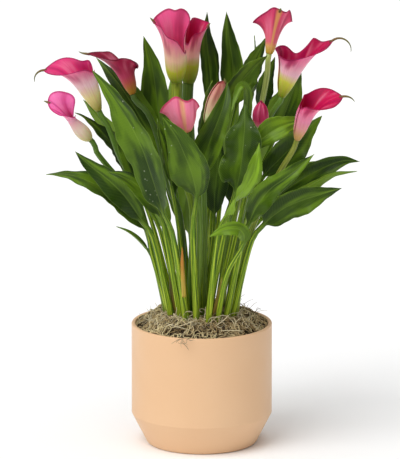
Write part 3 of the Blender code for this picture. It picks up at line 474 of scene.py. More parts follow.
def add(tree, kind, inputs=None, **settings):
    """A node with its settings, its inputs set to values or linked from sockets."""
    made = tree.nodes.new(kind)
    for key, value in settings.items():
        setattr(made, key, value)
    for key, value in (inputs or {}).items():
        if isinstance(value, bpy.types.NodeSocket):
            tree.links.new(value, made.inputs[key])
        else:
            made.inputs[key].default_value = value
    return made


def sums(tree, operation, first, second=0.0):
    return add(tree, "ShaderNodeMath", {0: first, 1: second}, operation=operation).outputs[0]


def times(tree, first, second):
    return sums(tree, "MULTIPLY", first, second)


def plus(tree, first, second):
    return sums(tree, "ADD", first, second)


def mix(tree, factor, first, second):
    """A colour between two others. A plain colour is given as three numbers."""
    def filled(colour):
        return colour if isinstance(colour, bpy.types.NodeSocket) else (*colour, 1)
    return add(tree, "ShaderNodeMix", {0: factor, 6: filled(first), 7: filled(second)},
               data_type="RGBA").outputs[2]


def span(tree, value, low, high, start=0.0, end=1.0):
    """The value moved smoothly from one span to another, and kept inside it."""
    return add(tree, "ShaderNodeMapRange", {0: value, 1: low, 2: high, 3: start, 4: end},
               interpolation_type="SMOOTHSTEP").outputs[0]


def ramp(tree, factor, stops):
    """A colour that runs through (place, colour) stops."""
    made = add(tree, "ShaderNodeValToRGB", {0: factor})
    elements = made.color_ramp.elements
    while len(elements) < len(stops):
        elements.new(0.5)
    for element, (place, colour) in zip(elements, stops):
        element.position = place
        element.color = (*colour, 1)
    return made.outputs[0]


def tint(tree, below, above, *spans):
    """A colour with another laid over it, by a value moved from one span to another."""
    return mix(tree, span(tree, *spans), below, above)


def stretched(tree, first, second, third=0.0):
    """A place for noise, from two values that are each given with a scale."""
    return add(tree, "ShaderNodeCombineXYZ",
               {0: times(tree, *first), 1: times(tree, *second), 2: third}).outputs[0]


def parts_of(tree, name):
    """The three numbers that each point of a piece keeps under this name."""
    known = add(tree, "ShaderNodeAttribute", attribute_name=name)
    return add(tree, "ShaderNodeSeparateXYZ", {0: known.outputs["Vector"]}).outputs


def own_space(tree):
    return add(tree, "ShaderNodeTexCoord").outputs["Object"]


def cloud(tree, scale, detail, where=None, roughness=0.5):
    """Soft noise, in the piece's own space unless a place is given."""
    where = own_space(tree) if where is None else where
    return add(tree, "ShaderNodeTexNoise",
               {"Vector": where, "Scale": scale, "Detail": detail, "Roughness": roughness}).outputs[0]


def patchy(tree, scale, detail, low=0.0, high=1.0):
    """A value that wanders softly between two."""
    return span(tree, cloud(tree, scale, detail), 0.3, 0.7, low, high)


def streaky(tree, detail, first, second, roughness=0.5):
    """Noise drawn out by two values, which are each given with a scale."""
    return cloud(tree, 1.0, detail, stretched(tree, first, second), roughness)


def grains(tree, scale):
    """How far each spot is from the middle of its grain."""
    return add(tree, "ShaderNodeTexVoronoi",
               {"Vector": own_space(tree), "Scale": scale}).outputs["Distance"]


def new_material(name, rough, specular, more=()):
    """(material, its node tree), with plain values set on its surface."""
    material = bpy.data.materials.new(name)
    material.use_nodes = True
    inputs = material.node_tree.nodes["Principled BSDF"].inputs
    for key, value in (("Roughness", rough), ("Specular IOR Level", specular), *more):
        inputs[key].default_value = value
    return material, material.node_tree


def coated(material, colour, rough=None, relief=None, strength=0.0, depth=0.0):
    """The material, with a colour, a roughness and a relief linked to its surface."""
    tree = material.node_tree
    inputs = tree.nodes["Principled BSDF"].inputs
    tree.links.new(colour, inputs["Base Color"])
    if rough is not None:
        tree.links.new(rough, inputs["Roughness"])
    if relief is not None:
        bump = add(tree, "ShaderNodeBump", {"Height": relief, "Strength": strength, "Distance": depth})
        tree.links.new(bump.outputs[0], inputs["Normal"])
    return material


# Materials

LEAF_DARK = (0.010, 0.036, 0.002)
LEAF_LIGHT = (0.170, 0.305, 0.014)
LEAF_PALE = (0.27, 0.42, 0.06)
# Painted shade on the leaves.
LEAF_PAINTED_SHADE = (0.008, 0.028, 0.002)
STEM_STREAK = (0.04, 0.09, 0.01)
STALK_SHADE = (0.028, 0.075, 0.006)
STALK_SHINE = (0.70, 0.82, 0.07)
OUTER_STOPS = (0.06, 0.28, 0.46, 0.95)
# The pink of the painted highlight on a bloom's sheet.
BLOOM_PAINTED_HIGHLIGHT = (0.94, 0.34, 0.48)
INNER_STOPS = (0.03, 0.15, 0.3, 0.6)
FLECK = (0.55, 0.62, 0.42)
STALK_STOPS = ((0.0, (0.50, 0.48, 0.08)), (0.12, (0.36, 0.44, 0.035)), (0.4, (0.24, 0.38, 0.016)),
               (0.75, (0.14, 0.28, 0.012)), (1.0, (0.09, 0.21, 0.010)))
SPATHE_GLOW = (("Subsurface Weight", 0.35), ("Subsurface Scale", 4 * MM),
               ("Subsurface Radius", (1.0, 0.4, 0.4)))
MOSS_BROWN = (0.16, 0.10, 0.05)
# Painted shade in the moss mat, between its fibres and in its holes.
MAT_PAINTED_SHADE = (0.020, 0.013, 0.008)

# A leaf's side veins, in millimetres: how far they slant, how much they waver and how far apart.
VEIN_SLANT = 0.85
VEIN_WOBBLE = 3.0
VEIN_PITCH = 2.2


def lighter(first, second, share):
    """A plain colour at this share of the way from the first to the second."""
    return tuple(a + (b - a) * share for a, b in zip(first, second))


def stalk_colour(tree, u, s, share):
    """Yellow at the foot, then green, with streaks of painted shade and painted highlight along it."""
    streaks = streaky(tree, 4, (u, 7.0), (s, 0.02), 0.65)
    stripes = streaky(tree, 2, (u, 2.6), (s, 0.012))
    stalk = ramp(tree, plus(tree, share, 1.0), STALK_STOPS)
    # The dark streaks are painted shade between the stalks, and the bright ones a painted highlight.
    stalk = tint(tree, stalk, STALK_SHADE, stripes, 0.5, 0.58, 0.0, 0.7)
    stalk = tint(tree, stalk, STALK_SHINE, stripes, 0.47, 0.38, 0.0, 0.5)
    stalk = tint(tree, stalk, STALK_SHADE, streaks, 0.5, 0.6, 0.0, 0.8)
    return tint(tree, stalk, STALK_SHINE, streaks, 0.46, 0.34, 0.0, 0.6)


def flecked(tree, colour, share):
    """The colour with small pale flecks, which lie in patches over the blade."""
    fleck = span(tree, grains(tree, 190.0), 0.05, 0.22, 1.0, 0.0)
    fleck = times(tree, fleck, span(tree, cloud(tree, 70, 2), 0.56, 0.66))
    fleck = times(tree, fleck, span(tree, share, 0.05, 0.15))
    return mix(tree, times(tree, fleck, 0.75), colour, FLECK)


def leaf_material(name, tone, flecks):
    """Waxy green with pale ribs, and painted light and shade. tone: 0 for a dark leaf, 1 for a light one.
    """
    material, tree = new_material(name, 0.36, 0.16)
    u, share, face = parts_of(tree, "place")
    x, s, _ = parts_of(tree, "metric")
    off_rib = sums(tree, "ABSOLUTE", x)
    dark = lighter(LEAF_DARK, LEAF_LIGHT, tone * 0.5)
    light = lighter(LEAF_DARK, LEAF_LIGHT, 0.3 + tone * 0.8)
    # Lengthwise bands between the leaf's dark and light tones: painted light and shade.
    painted_light_bands = stretched(tree, (u, 1.5), (s, 0.016), float(sum(map(ord, name)) % 89))
    # depth: how strongly the painted shade patches darken this leaf.
    depth = 0.9 * min(max(1.4 - tone, 0.0), 1.0)
    blade = mix(tree, span(tree, cloud(tree, 1.0, 3, painted_light_bands), 0.43, 0.57), dark, light)
    # One half of the blade lighter than the other: a painted highlight.
    blade = tint(tree, blade, light, u, -0.2, 0.2, 0.0, 0.35)
    # Dark patches over the blade and a darker blade base: painted shade.
    blade = tint(tree, blade, LEAF_PAINTED_SHADE, cloud(tree, 0.7, 2, painted_light_bands), 0.61, 0.40, 0.0, depth)
    blade = tint(tree, blade, LEAF_PAINTED_SHADE, share, 0.0, 0.35, 0.5, 0.0)
    run = sums(tree, "SUBTRACT", s, times(tree, off_rib, VEIN_SLANT))
    run = plus(tree, run, times(tree, cloud(tree, 60, 2), VEIN_WOBBLE))
    veins = sums(tree, "SINE", times(tree, run, 2 * pi / VEIN_PITCH))
    blade = tint(tree, blade, LEAF_PALE, veins, 0.3, 1.0, 0, 0.10)
    blade = tint(tree, blade, LEAF_PALE, off_rib, 0.1, 0.9, 0.2, 0.0)
    blade = tint(tree, blade, LEAF_PALE, sums(tree, "ABSOLUTE", u), 0.96, 1.0, 0.0, 0.4)
    blade = tint(tree, blade, lighter(light, LEAF_PALE, 0.5), face, 0.3, -0.3, 0.0, 0.6)
    colour = mix(tree, span(tree, share, -0.1, 0.12), stalk_colour(tree, u, s, share), blade)
    if flecks:
        colour = flecked(tree, colour, share)
    rough = patchy(tree, 90, 3, 0.30, 0.44)
    relief = plus(tree, times(tree, veins, 0.3), cloud(tree, 160, 3))
    return coated(material, colour, rough, relief, 0.35, 0.25 * MM)


def spathe_material(name, colours, inner):
    """The sheet of a bloom: green at its base, yellow, pale in its throat, then rose, with a dark rim,
    and painted shade and highlight.
    """
    base, middle, throat, body, rim, rib = colours
    material, tree = new_material(name, 0.45, 0.14, SPATHE_GLOW)
    turn, stop, to_rim = parts_of(tree, "place")
    off_rib = sums(tree, "ABSOLUTE", turn)
    patches = cloud(tree, 45, 3)
    up = plus(tree, stop, span(tree, patches, 0.2, 0.8, -0.1, 0.1))
    stops = tuple(zip(INNER_STOPS if inner else OUTER_STOPS, (base, middle, throat, body)))
    colour = ramp(tree, times(tree, up, 0.5), stops)
    # Broad lobes across the sheet, darker and lighter: painted shade and a painted highlight.
    painted_light_lobes = streaky(tree, 1, (turn, 5.0), (stop, 0.5))
    veins = streaky(tree, 3, (turn, 55.0), (stop, 0.8))
    grown = span(tree, up, 0.9, 1.5)
    shade = times(tree, grown, span(tree, painted_light_lobes, 0.52, 0.36, 0.0, 0.8))
    painted_highlight = times(tree, grown, span(tree, painted_light_lobes, 0.52, 0.66, 0.0, 0.6))
    colour = mix(tree, shade, colour, lighter(body, rim, 0.8))
    colour = mix(tree, painted_highlight, colour, lighter(body, BLOOM_PAINTED_HIGHLIGHT, 0.6))
    colour = tint(tree, colour, lighter(body, rim, 0.3), veins, 0.45, 0.7, 0.0, 0.3)
    # On the inner side, darker toward the sides of the throat: painted shade.
    if inner:
        colour = tint(tree, colour, lighter(body, rim, 0.7), off_rib, 0.12, 0.5, 0.0, 0.5)
    if rib:
        colour = tint(tree, colour, rib, off_rib, 0.015, 0.08, 0.85, 0.0)
    colour = tint(tree, colour, rim, to_rim, 0.4, 3.4, 0.9, 0.0)
    rough = span(tree, patches, 0.3, 0.7, 0.36, 0.5)
    relief = plus(tree, times(tree, veins, 1.6), cloud(tree, 240, 2))
    return coated(material, colour, rough, relief, 0.4, 0.25 * MM)


def stem_material(name, low, high):
    """A ridged green stem that changes colour toward its bloom."""
    material, tree = new_material(name, 0.4, 0.25)
    u, share, _ = parts_of(tree, "place")
    _, s, _ = parts_of(tree, "metric")
    streaks = streaky(tree, 4, (u, 9.0), (s, 0.02), 0.65)
    colour = mix(tree, span(tree, share, 0.1, 0.95), low, high)
    colour = tint(tree, colour, STEM_STREAK, streaks, 0.46, 0.62, 0.0, 0.65)
    rough = patchy(tree, 90, 3, 0.34, 0.5)
    return coated(material, colour, rough, streaks, 0.4, 0.3 * MM)


def spadix_material():
    """Small yellow grains, darker between."""
    material, tree = new_material("spadix", 0.75, 0.3)
    off = grains(tree, 900.0)
    colour = mix(tree, span(tree, off, 0.1, 0.7), (0.80, 0.52, 0.10), (0.48, 0.24, 0.04))
    return coated(material, colour, None, sums(tree, "SUBTRACT", 1.0, off), 0.6, 0.4 * MM)


def moss_strand_material(name, light, dark):
    """Dry strands. Each keeps a tone of its own."""
    material, tree = new_material(name, 0.85, 0.2, [("Sheen Weight", 0.08)])
    colour = mix(tree, parts_of(tree, "place")[0], dark, light)
    colour = tint(tree, colour, MOSS_BROWN, cloud(tree, 500, 2), 0.4, 0.7, 0.0, 0.3)
    rough = patchy(tree, 300, 2, 0.75, 0.95)
    return coated(material, colour, rough, cloud(tree, 1500, 2), 0.5, 0.2 * MM)


def mat_material():
    """The matted moss under the loose strands: fibrous, dark with painted shade between its fibres and in
    its holes.
    """
    material, tree = new_material("moss_mat", 0.95, 0.1)
    wave = {"Vector": own_space(tree), "Scale": 120.0, "Distortion": 30.0, "Detail": 3.0,
            "Detail Scale": 2.0}
    fibres = add(tree, "ShaderNodeTexWave", wave).outputs["Fac"]
    # Darker between the fibres and in patches of holes: painted shade.
    colour = mix(tree, span(tree, fibres, 0.4, 0.95), MAT_PAINTED_SHADE, (0.09, 0.065, 0.038))
    colour = tint(tree, colour, MAT_PAINTED_SHADE, cloud(tree, 70, 4), 0.4, 0.7, 0.0, 0.7)
    return coated(material, colour, None, plus(tree, fibres, cloud(tree, 400, 3)), 1.0, 2.0 * MM)


def soil_material():
    """Dark crumbs."""
    material, tree = new_material("potting_soil", 0.95, 0.15)
    bits = span(tree, cloud(tree, 220, 4), 0.45, 0.75)
    colour = mix(tree, bits, (0.016, 0.010, 0.006), (0.075, 0.045, 0.025))
    return coated(material, colour, None, grains(tree, 380.0), 1.0, 1.5 * MM)


def pot_material():
    """Matte peach glaze: faint clouds of colour, fine grain, a soft sheen."""
    material, tree = new_material("peach_glaze", 0.4, 0.35)
    colour = mix(tree, patchy(tree, 9, 4), (0.790, 0.500, 0.285), (0.815, 0.530, 0.312))
    colour = tint(tree, colour, (0.66, 0.38, 0.20), cloud(tree, 900, 2), 0.62, 0.75, 0.0, 0.12)
    rough = patchy(tree, 30, 3, 0.36, 0.48)
    relief = plus(tree, cloud(tree, 35, 2), times(tree, cloud(tree, 700, 2), 0.15))
    return coated(material, colour, rough, relief, 0.12, 0.5 * MM)


def floor_material():
    material, tree = new_material("floor", 0.8, 0.1)
    return coated(material, mix(tree, cloud(tree, 3, 2), (0.97, 0.97, 0.97), (0.985, 0.985, 0.985)))


# Meshes

def placed(name, data, materials=()):
    """An object for this data, in the scene."""
    for material in materials:
        data.materials.append(material)
    piece = bpy.data.objects.new(name, data)
    bpy.context.scene.collection.objects.link(piece)
    return piece


def mesh_piece(name, points, faces, materials, places=None, metrics=None):
    """A smooth mesh object, whose points keep their places on the leaf or sheet."""
    mesh = bpy.data.meshes.new(name)
    mesh.from_pydata(points, [], faces)
    for key, values in (("place", places), ("metric", metrics)):
        if values is not None:
            kept = mesh.attributes.new(key, "FLOAT_VECTOR", "POINT")
            kept.data.foreach_set("vector", [number for value in values for number in value])
    mesh.shade_smooth()
    return placed(name, mesh, materials)


def facing_out(piece):
    """Turns the faces of a closed piece outward."""
    tidy = bmesh.new()
    tidy.from_mesh(piece.data)
    bmesh.ops.recalc_face_normals(tidy, faces=tidy.faces)
    tidy.to_mesh(piece.data)
    tidy.free()
    return piece


def ring_faces(rings, count):
    """The faces around a row of closed rings, with both ends closed."""
    faces = [tuple(reversed(range(count)))]
    for low in range(0, count * (rings - 1), count):
        for i in range(count):
            j = (i + 1) % count
            faces.append((low + i, low + j, low + count + j, low + count + i))
    faces.append(tuple(range(count * (rings - 1), count * rings)))
    return faces


def finished(piece, slot, *nodes):
    """Attaches a piece to the root body and hides the nodes that it stands for. The slot is not used."""
    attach(piece, "root")
    for node in nodes:
        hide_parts(node)
    return piece


# Leaves

def half_width(spec, share):
    """Half the blade's width at this share of its length: widest below its middle."""
    if share >= 1:
        return 0.0
    frill = 1 + FRILL * spec.wave * sin(2 * pi * spec.waves * share + spec.phase)
    return spec.width / 2 * MM * sin(pi * share ** BLADE_SKEW) ** BLADE_FULLNESS * frill


def blade_height(spec, share, u):
    """How far the blade stands off its flat, at u across it: its channel, waves and ruffles."""
    lag = SIDE_LAG if u > 0 else 0.0
    swell = sin(pi * share) ** 0.5
    turn = 2 * pi * spec.waves * share + spec.phase + lag
    wave = spec.wave * MM * sin(turn) * swell * abs(u) ** WAVE_POWER
    fine = 2 * pi * RUFFLES * share + 3 * spec.phase + 2 * lag
    ruffle = RUFFLE * spec.wave / 3 * sin(fine) * swell * abs(u) ** RUFFLE_POWER
    return spec.fold * half_width(spec, share) * abs(u) ** CHANNEL_POWER + wave + ruffle


def facing(tangent, roll):
    """(side, normal) of a blade that is turned by roll from facing the viewer."""
    normal = (TO_EYE - tangent * TO_EYE.dot(tangent)).normalized()
    normal.rotate(Quaternion(tangent, roll))
    return normal.cross(tangent).normalized(), normal


def blade_section(spec, share):
    """[(x, y, u, face)] around the blade: over its upper face, then back along its underside."""
    width = max(half_width(spec, share), TIP_WIDTH)
    rib = STALK_TOP_RADIUS * spec.stalk * (1 - share) ** RIB_TAPER + RIB_LEAST
    upper = []
    under = []
    for u in BLADE_STOPS:
        x = u * width
        height = blade_height(spec, share, u)
        near_rib = exp(-(x / RIB_WIDTH) ** 2)
        half = (BLADE_THICK + (MARGIN_THICK - BLADE_THICK) * abs(u)) / 2
        keel = rib * exp(-(x / (rib * KEEL_SPREAD)) ** 2) * (1 - abs(u))
        upper.append((x, height + half - RIB_GROOVE * near_rib * (1 - share), u, 1))
        under.append((x, height - half - keel, u, -1))
    return upper + under[::-1]


def stalk_section(radius):
    """[(x, y, u, face)] around the stalk, as many points as around the blade."""
    points = []
    for face, stops in ((1, BLADE_STOPS), (-1, BLADE_STOPS[::-1])):
        for u in stops:
            angle = radians(90 * u)
            groove = STALK_GROOVE * exp(-(angle / GROOVE_SPREAD) ** 2) if face > 0 else 0.0
            y = face * cos(angle) * radius * (1 - groove)
            points.append((sin(angle) * radius, y, u, face))
    return points


def leaf_section(spec, down, share):
    """[(x, y, u, face, off)] around a leaf, which opens from stalk to blade.

    off: the stalk's x, then the blade's as if it lay open all the way down.
    """
    radius = (STALK_RADIUS * (1 - down) + STALK_TOP_RADIUS * down) * spec.stalk * STALK_ROUND
    opened = smoothstep(0.0, BLADE_OPENS, share)
    section = []
    for (rx, ry, u, face), (fx, fy, _, _) in zip(stalk_section(radius), blade_section(spec, share)):
        off = fx if down == 1 else rx
        section.append((rx + (fx - rx) * opened, ry + (fy - ry) * opened, u, face, off))
    return section


def leaf_line(spec, path):
    """[(down, share, walked, middle, way)] from foot to tip.

    down, share: how much of the stalk and of the blade lies behind. walked: that in millimetres.
    """
    smooth = smooth_path(path)
    split = PATH_STEPS * (len(path) - len(spec.path) + 1)
    stalk, blade = smooth[: split + 1], smooth[split:]
    downs = even_shares(STALK_STEPS)[:-1]
    shares = [0.5 * t + 0.25 * (1 - cos(pi * t)) for t in even_shares(BLADE_STEPS)]
    middles = along(stalk, downs) + along(blade, shares)
    stalk_length = lengths_along(stalk)[-1]
    blade_length = lengths_along(blade)[-1]
    stations = [(down, 0.0) for down in downs] + [(1.0, share) for share in shares]
    return [(down, share, (down * stalk_length + share * blade_length) / MM, middle, way)
            for (down, share), middle, way in zip(stations, middles, tangents(middles))]


def make_leaf(spec, path, node, material):
    """A leaf from its foot in the soil to its tip, as rings around its line."""
    line = leaf_line(spec, path)
    points = []
    places = []
    metrics = []
    for down, share, walked, middle, way in line:
        roll = radians(spec.roll[0] + (spec.roll[1] - spec.roll[0]) * share)
        side, normal = facing(way, roll)
        for x, y, u, face, off in leaf_section(spec, down, share):
            points.append(middle + side * x + normal * y)
            places.append((u, share + (down - 1), face))
            metrics.append((off / MM, walked, 0))
    name = f"{node}_blade" if node == spec.name else f"{node}_{spec.name}"
    faces = ring_faces(len(line), 2 * len(BLADE_STOPS))
    piece = facing_out(mesh_piece(name, points, faces, [material], places, metrics))
    return finished(piece, "leaf", node)


# Blooms

def spathe_frame(spec):
    """(base, matrix) of a bloom: its axis as Z, and the way its tip points as X."""
    base = seen(spec.base)
    up = (seen(spec.axis, 1) - seen((0, 0, 0))).normalized()
    azimuth = radians(spec.tip_way)
    back = Vector((cos(azimuth), sin(azimuth), 0))
    back = (back - up * back.dot(up)).normalized()
    turn = Matrix((back, up.cross(back), up)).transposed()
    return base, turn


def key_slope(keys, index, item):
    """How fast the value changes at a key: steeper at the tip, level at the front."""
    if index == len(keys) - 1:
        return 0.0
    before = keys[max(index - 1, 0)]
    slope = (keys[index + 1][item] - before[item]) / (keys[index + 1][0] - before[0])
    return slope if index else slope * TIP_STEEPNESS


def around(angle, mouth, item):
    """The mouth's value (1 reach, 2 opening, 3 roll) at this angle, run smoothly from key to key."""
    side = 1 if angle >= 0 else -1
    keys = sorted((abs(key[0]),) + key[1:] for key in mouth if key[0] in (0, 180) or key[0] * side > 0)
    turn = min(abs(degrees(angle)), 180)
    index = max(i for i in range(len(keys) - 1) if keys[i][0] <= turn)
    width = keys[index + 1][0] - keys[index][0]
    share = (turn - keys[index][0]) / width
    low = keys[index][item]
    rise = keys[index + 1][item] - low
    start = key_slope(keys, index, item) * width
    end = key_slope(keys, index + 1, item) * width
    return (low + start * share + (3 * rise - 2 * start - end) * share ** 2
            + (start + end - 2 * rise) * share ** 3)


def spathe_stops():
    """Rows of the sheet: 0 to 1 up the tube, then 1 to 2 up the flare to the rim."""
    tube = [i / TUBE_ROWS for i in range(TUBE_ROWS)]
    return tube + [1 + i / FLARE_ROWS for i in range(FLARE_ROWS + 1)]


def neck_radius(spec):
    """The stem's radius just under the bloom."""
    return STOUT_NECKS.get(spec.name, NECK_RADIUS)


def stem_radius(spec, share):
    """The stem's radius at this share of its length; a stout stem swells near its bloom."""
    swelling = (neck_radius(spec) - NECK_RADIUS) * smoothstep(0.4, 0.9, share)
    return STEM_RADIUS + (NECK_RADIUS - STEM_RADIUS) * share + swelling


def sheet_lean(spec, angle, length):
    """How the sheet leans out at this angle from its tip: a function of the way along it."""
    opening = radians(around(angle, spec.mouth, 2))
    roll = radians(around(angle, spec.mouth, 3))
    foot, top = [radians(lean) for lean in spec.cone]
    tail, curl = spec.tail[0] * MM, radians(spec.tail[1])
    tube = spec.tube * MM
    flare_foot = tube * FLARE_START
    ruffle = radians(spec.ripple) * sin(3 * angle + spec.tube)

    def lean_at(way):
        lean = top + (foot - top) * (1 - min(way / tube, 1)) ** CONE_POWER
        flare = min(max((way - flare_foot) / (length - flare_foot), 0), 1)
        lean += (opening - lean) * flare ** FLARE_POWER + ruffle * flare ** 2
        lean += roll * smoothstep(ROLL_START, 1.0, flare)
        return lean if way <= length else lean + curl * (way - length) / tail

    return lean_at


def spathe_column(spec, angle, stops):
    """The sheet's line at this angle from its tip, as (radius, height, lean, way left to its rim)."""
    length = around(angle, spec.mouth, 1) * MM
    tail = spec.tail[0] * MM
    tube = spec.tube * MM
    lean_at = sheet_lean(spec, angle, length)
    radius = neck_radius(spec) + NECK_WALL
    height = 0.0
    travelled = 0.0
    lean = 0.0
    line = []
    for stop in stops:
        past_tube = min(max(stop - 1, 0), 1)
        wanted = tube * min(stop, 1) + (length - tube) * past_tube + tail * max(stop - 2, 0)
        while travelled < wanted - 1e-9:
            step = min(SPATHE_STRIDE, wanted - travelled)
            lean = lean_at(travelled + step / 2)
            radius += sin(lean) * step
            height += cos(lean) * step
            travelled += step
        line.append((max(radius, SPATHE_LEAST_RADIUS), height, lean, (length - travelled) / MM))
    return line


def spathe_point(frame, angle, lap, radius, height, lean):
    """A point of the sheet, moved out along its normal by the lap of its margins."""
    base, turn = frame
    off = radius + lap * cos(lean)
    spot = (cos(angle) * off, sin(angle) * off, height - lap * sin(lean))
    return base + turn @ Vector(spot)


def make_spathe(spec, materials):
    """A sheet rolled around its stem, open at the mouth, its margins lapped in front."""
    frame = spathe_frame(spec)
    stops = spathe_stops()
    points = []
    places = []
    for column in range(SPATHE_COLUMNS + 1):
        spot = 2 * column / SPATHE_COLUMNS - 1
        angle = SPATHE_TURN * (SPATHE_EVEN * spot + (1 - SPATHE_EVEN) * spot ** 3)
        lap = SPATHE_SPIRAL * (angle / SPATHE_TURN + 1) / 2
        for stop, (radius, height, lean, left) in zip(stops, spathe_column(spec, angle, stops)):
            rise = smoothstep(-0.1, 0.5, stop)
            points.append(spathe_point(frame, angle, lap * rise, radius, height, lean))
            places.append((angle / pi, stop, left))
    rows = len(stops)
    faces = []
    for column in range(SPATHE_COLUMNS):
        for row in range(rows - 1):
            low = column * rows + row
            faces.append((low, low + rows, low + rows + 1, low + 1))
    piece = mesh_piece(spec.name + "_sheet", points, faces, materials, places)
    wall = piece.modifiers.new("wall", "SOLIDIFY")
    wall.thickness = SPATHE_THICK
    wall.offset = 0
    wall.material_offset = 1
    return finished(piece, "spathe", spec.name + "_spathe")


def make_tail(spec, material):
    """The thin tip that runs out and curls past the rim."""
    frame = spathe_frame(spec)
    shares = even_shares(TAIL_ROWS)
    line = spathe_column(spec, 0, [TAIL_INSET + (3 - TAIL_INSET) * share for share in shares])
    middles = [spathe_point(frame, 0, SPATHE_SPIRAL / 2, *station[:3]) for station in line]
    radii = [TAIL_RADIUS * (1 - share) ** TAIL_TAPER + TAIL_END for share in shares]
    piece = tube(spec.name + "_tail", middles, radii, TAIL_SIDES, material)
    return finished(piece, "spathe", spec.name + "_spathe")


def rings_around(line, radii, sides):
    """Rings of points around a curve, each turned like the one before."""
    points = []
    across = None
    for middle, way, radius in zip(line, tangents(line), radii):
        across = way.orthogonal() if across is None else across - way * across.dot(way)
        across.normalize()
        up = way.cross(across)
        for i in range(sides):
            angle = 2 * pi * i / sides
            points.append(middle + (across * cos(angle) + up * sin(angle)) * radius)
    return points


def tube(name, middles, radii, sides, material):
    """A round tube along its middle line, with its ends closed."""
    lengths = lengths_along(middles)
    points = rings_around(middles, radii, sides)
    turns = [abs(2 * i / sides - 1) for i in range(sides)]
    places = [(turn, walked / lengths[-1], 0) for walked in lengths for turn in turns]
    metrics = [(0, walked / MM, 0) for walked in lengths for _ in range(sides)]
    faces = ring_faces(len(middles), sides)
    return facing_out(mesh_piece(name, points, faces, [material], places, metrics))


def make_stem(spec, path, material):
    """A stem from its foot in the soil up into the base of its sheet."""
    base, turn = spathe_frame(spec)
    axis = turn @ Vector((0, 0, 1))
    smooth = smooth_path(path + [base - axis * NECK_LENGTH, base + axis * 2 * MM])
    shares = even_shares(STEM_STEPS)
    radii = [stem_radius(spec, share) for share in shares]
    piece = tube(spec.name + "_stalk", along(smooth, shares), radii, STEM_SIDES, material)
    return finished(piece, "stem", spec.name + "_stem")


def make_spadix(spec, material):
    """The knobbly yellow finger inside a bloom."""
    base, turn = spathe_frame(spec)
    axis = turn @ Vector((0, 0, 1))
    side = turn @ Vector((1, 0, 0))
    up = axis.cross(side)
    length = spec.tube * MM * SPADIX_SHARE
    points = []
    for row, share in enumerate(even_shares(SPADIX_ROWS)):
        body = min(1.0, 0.8 + share) * sqrt(max(1 - share ** 6, 0.01))
        for i in range(SPADIX_SIDES):
            angle = 2 * pi * (i + 0.5 * (row % 2)) / SPADIX_SIDES
            out = SPADIX_RADIUS * body * (1 + SPADIX_KNOB * (-1) ** (i + row // 2))
            points.append(base + axis * (MM + length * share)
                          + (side * cos(angle) + up * sin(angle)) * out)
    faces = ring_faces(SPADIX_ROWS + 1, SPADIX_SIDES)
    piece = facing_out(mesh_piece(spec.name + "_spadix", points, faces, [material]))
    return finished(piece, "stem", spec.name + "_stem")


# Pot, soil and moss

def round_corner(before, corner, after, radius, steps):
    """Points of an arc that rounds one corner of a profile."""
    corner = Vector(corner)
    back = (Vector(before) - corner).normalized()
    on = (Vector(after) - corner).normalized()
    half = back.angle(on) / 2
    turn = pi - 2 * half
    centre = corner + (back + on).normalized() * radius / sin(half)
    first = corner + back * radius / tan(half) - centre
    last = corner + on * radius / tan(half) - centre
    made = []
    for share in even_shares(steps):
        spot = (first * sin((1 - share) * turn) + last * sin(share * turn)) / sin(turn)
        made.append(tuple(centre + spot))
    return made


def pot_inside(height):
    """The radius of the pot's inner face at this height."""
    if height >= CHAMFER_TOP:
        return POT_RADIUS - POT_WALL
    share = height / CHAMFER_TOP
    return FOOT_RADIUS + (POT_RADIUS - FOOT_RADIUS) * share - CHAMFER_WALL


def pot_profile():
    """[(radius, height)] from the middle of the floor, over the rim, to the middle of the foot."""
    rim_in = (POT_RADIUS - POT_WALL, POT_HEIGHT)
    rim_out = (POT_RADIUS, POT_HEIGHT)
    shoulder = (POT_RADIUS, CHAMFER_TOP)
    foot = (FOOT_RADIUS, 0)
    inner_shoulder = (pot_inside(CHAMFER_TOP), CHAMFER_TOP)
    profile = [(0, POT_FLOOR), (pot_inside(POT_FLOOR), POT_FLOOR), inner_shoulder]
    profile += round_corner(inner_shoulder, rim_in, rim_out, RIM_ROUND, CORNER_STEPS)
    profile += round_corner(rim_in, rim_out, shoulder, RIM_ROUND, CORNER_STEPS)
    profile += [(POT_RADIUS, POT_HEIGHT * (1 - share) + CHAMFER_TOP * share)
                for share in even_shares(POT_STEPS)[1:-1]]
    profile += round_corner(rim_out, shoulder, foot, SHOULDER_ROUND, CORNER_STEPS)
    profile += round_corner(shoulder, foot, (0, 0), FOOT_ROUND, FOOT_STEPS)
    return profile + [(0, 0)]


def make_pot(material):
    """The pot's profile, turned around the upright axis."""
    profile = pot_profile()
    mesh = bpy.data.meshes.new("pot_turned")
    edges = [(i, i + 1) for i in range(len(profile) - 1)]
    mesh.from_pydata([(radius, 0, height) for radius, height in profile], edges, [])
    piece = placed("pot_turned", mesh, [material])
    turn = piece.modifiers.new("turn", "SCREW")
    turn.steps = POT_SIDES
    turn.render_steps = POT_SIDES
    turn.use_merge_vertices = True
    turn.merge_threshold = 0.01 * MM
    turn.use_normal_calculate = True
    turn.use_smooth_shade = True
    return finished(piece, "pot", "pot")


def soil_height(radius):
    """The soil's top at this distance from the middle."""
    inner = CLUMP_RADIUS + SOIL_MARGIN
    edge = pot_inside(CHAMFER_TOP) - GAP
    if radius < inner:
        return SOIL_TOP + SOIL_DOME - SOIL_DOME / 2 * radius / inner
    return SOIL_TOP + SOIL_DOME / 2 * (edge - radius) / (edge - inner)


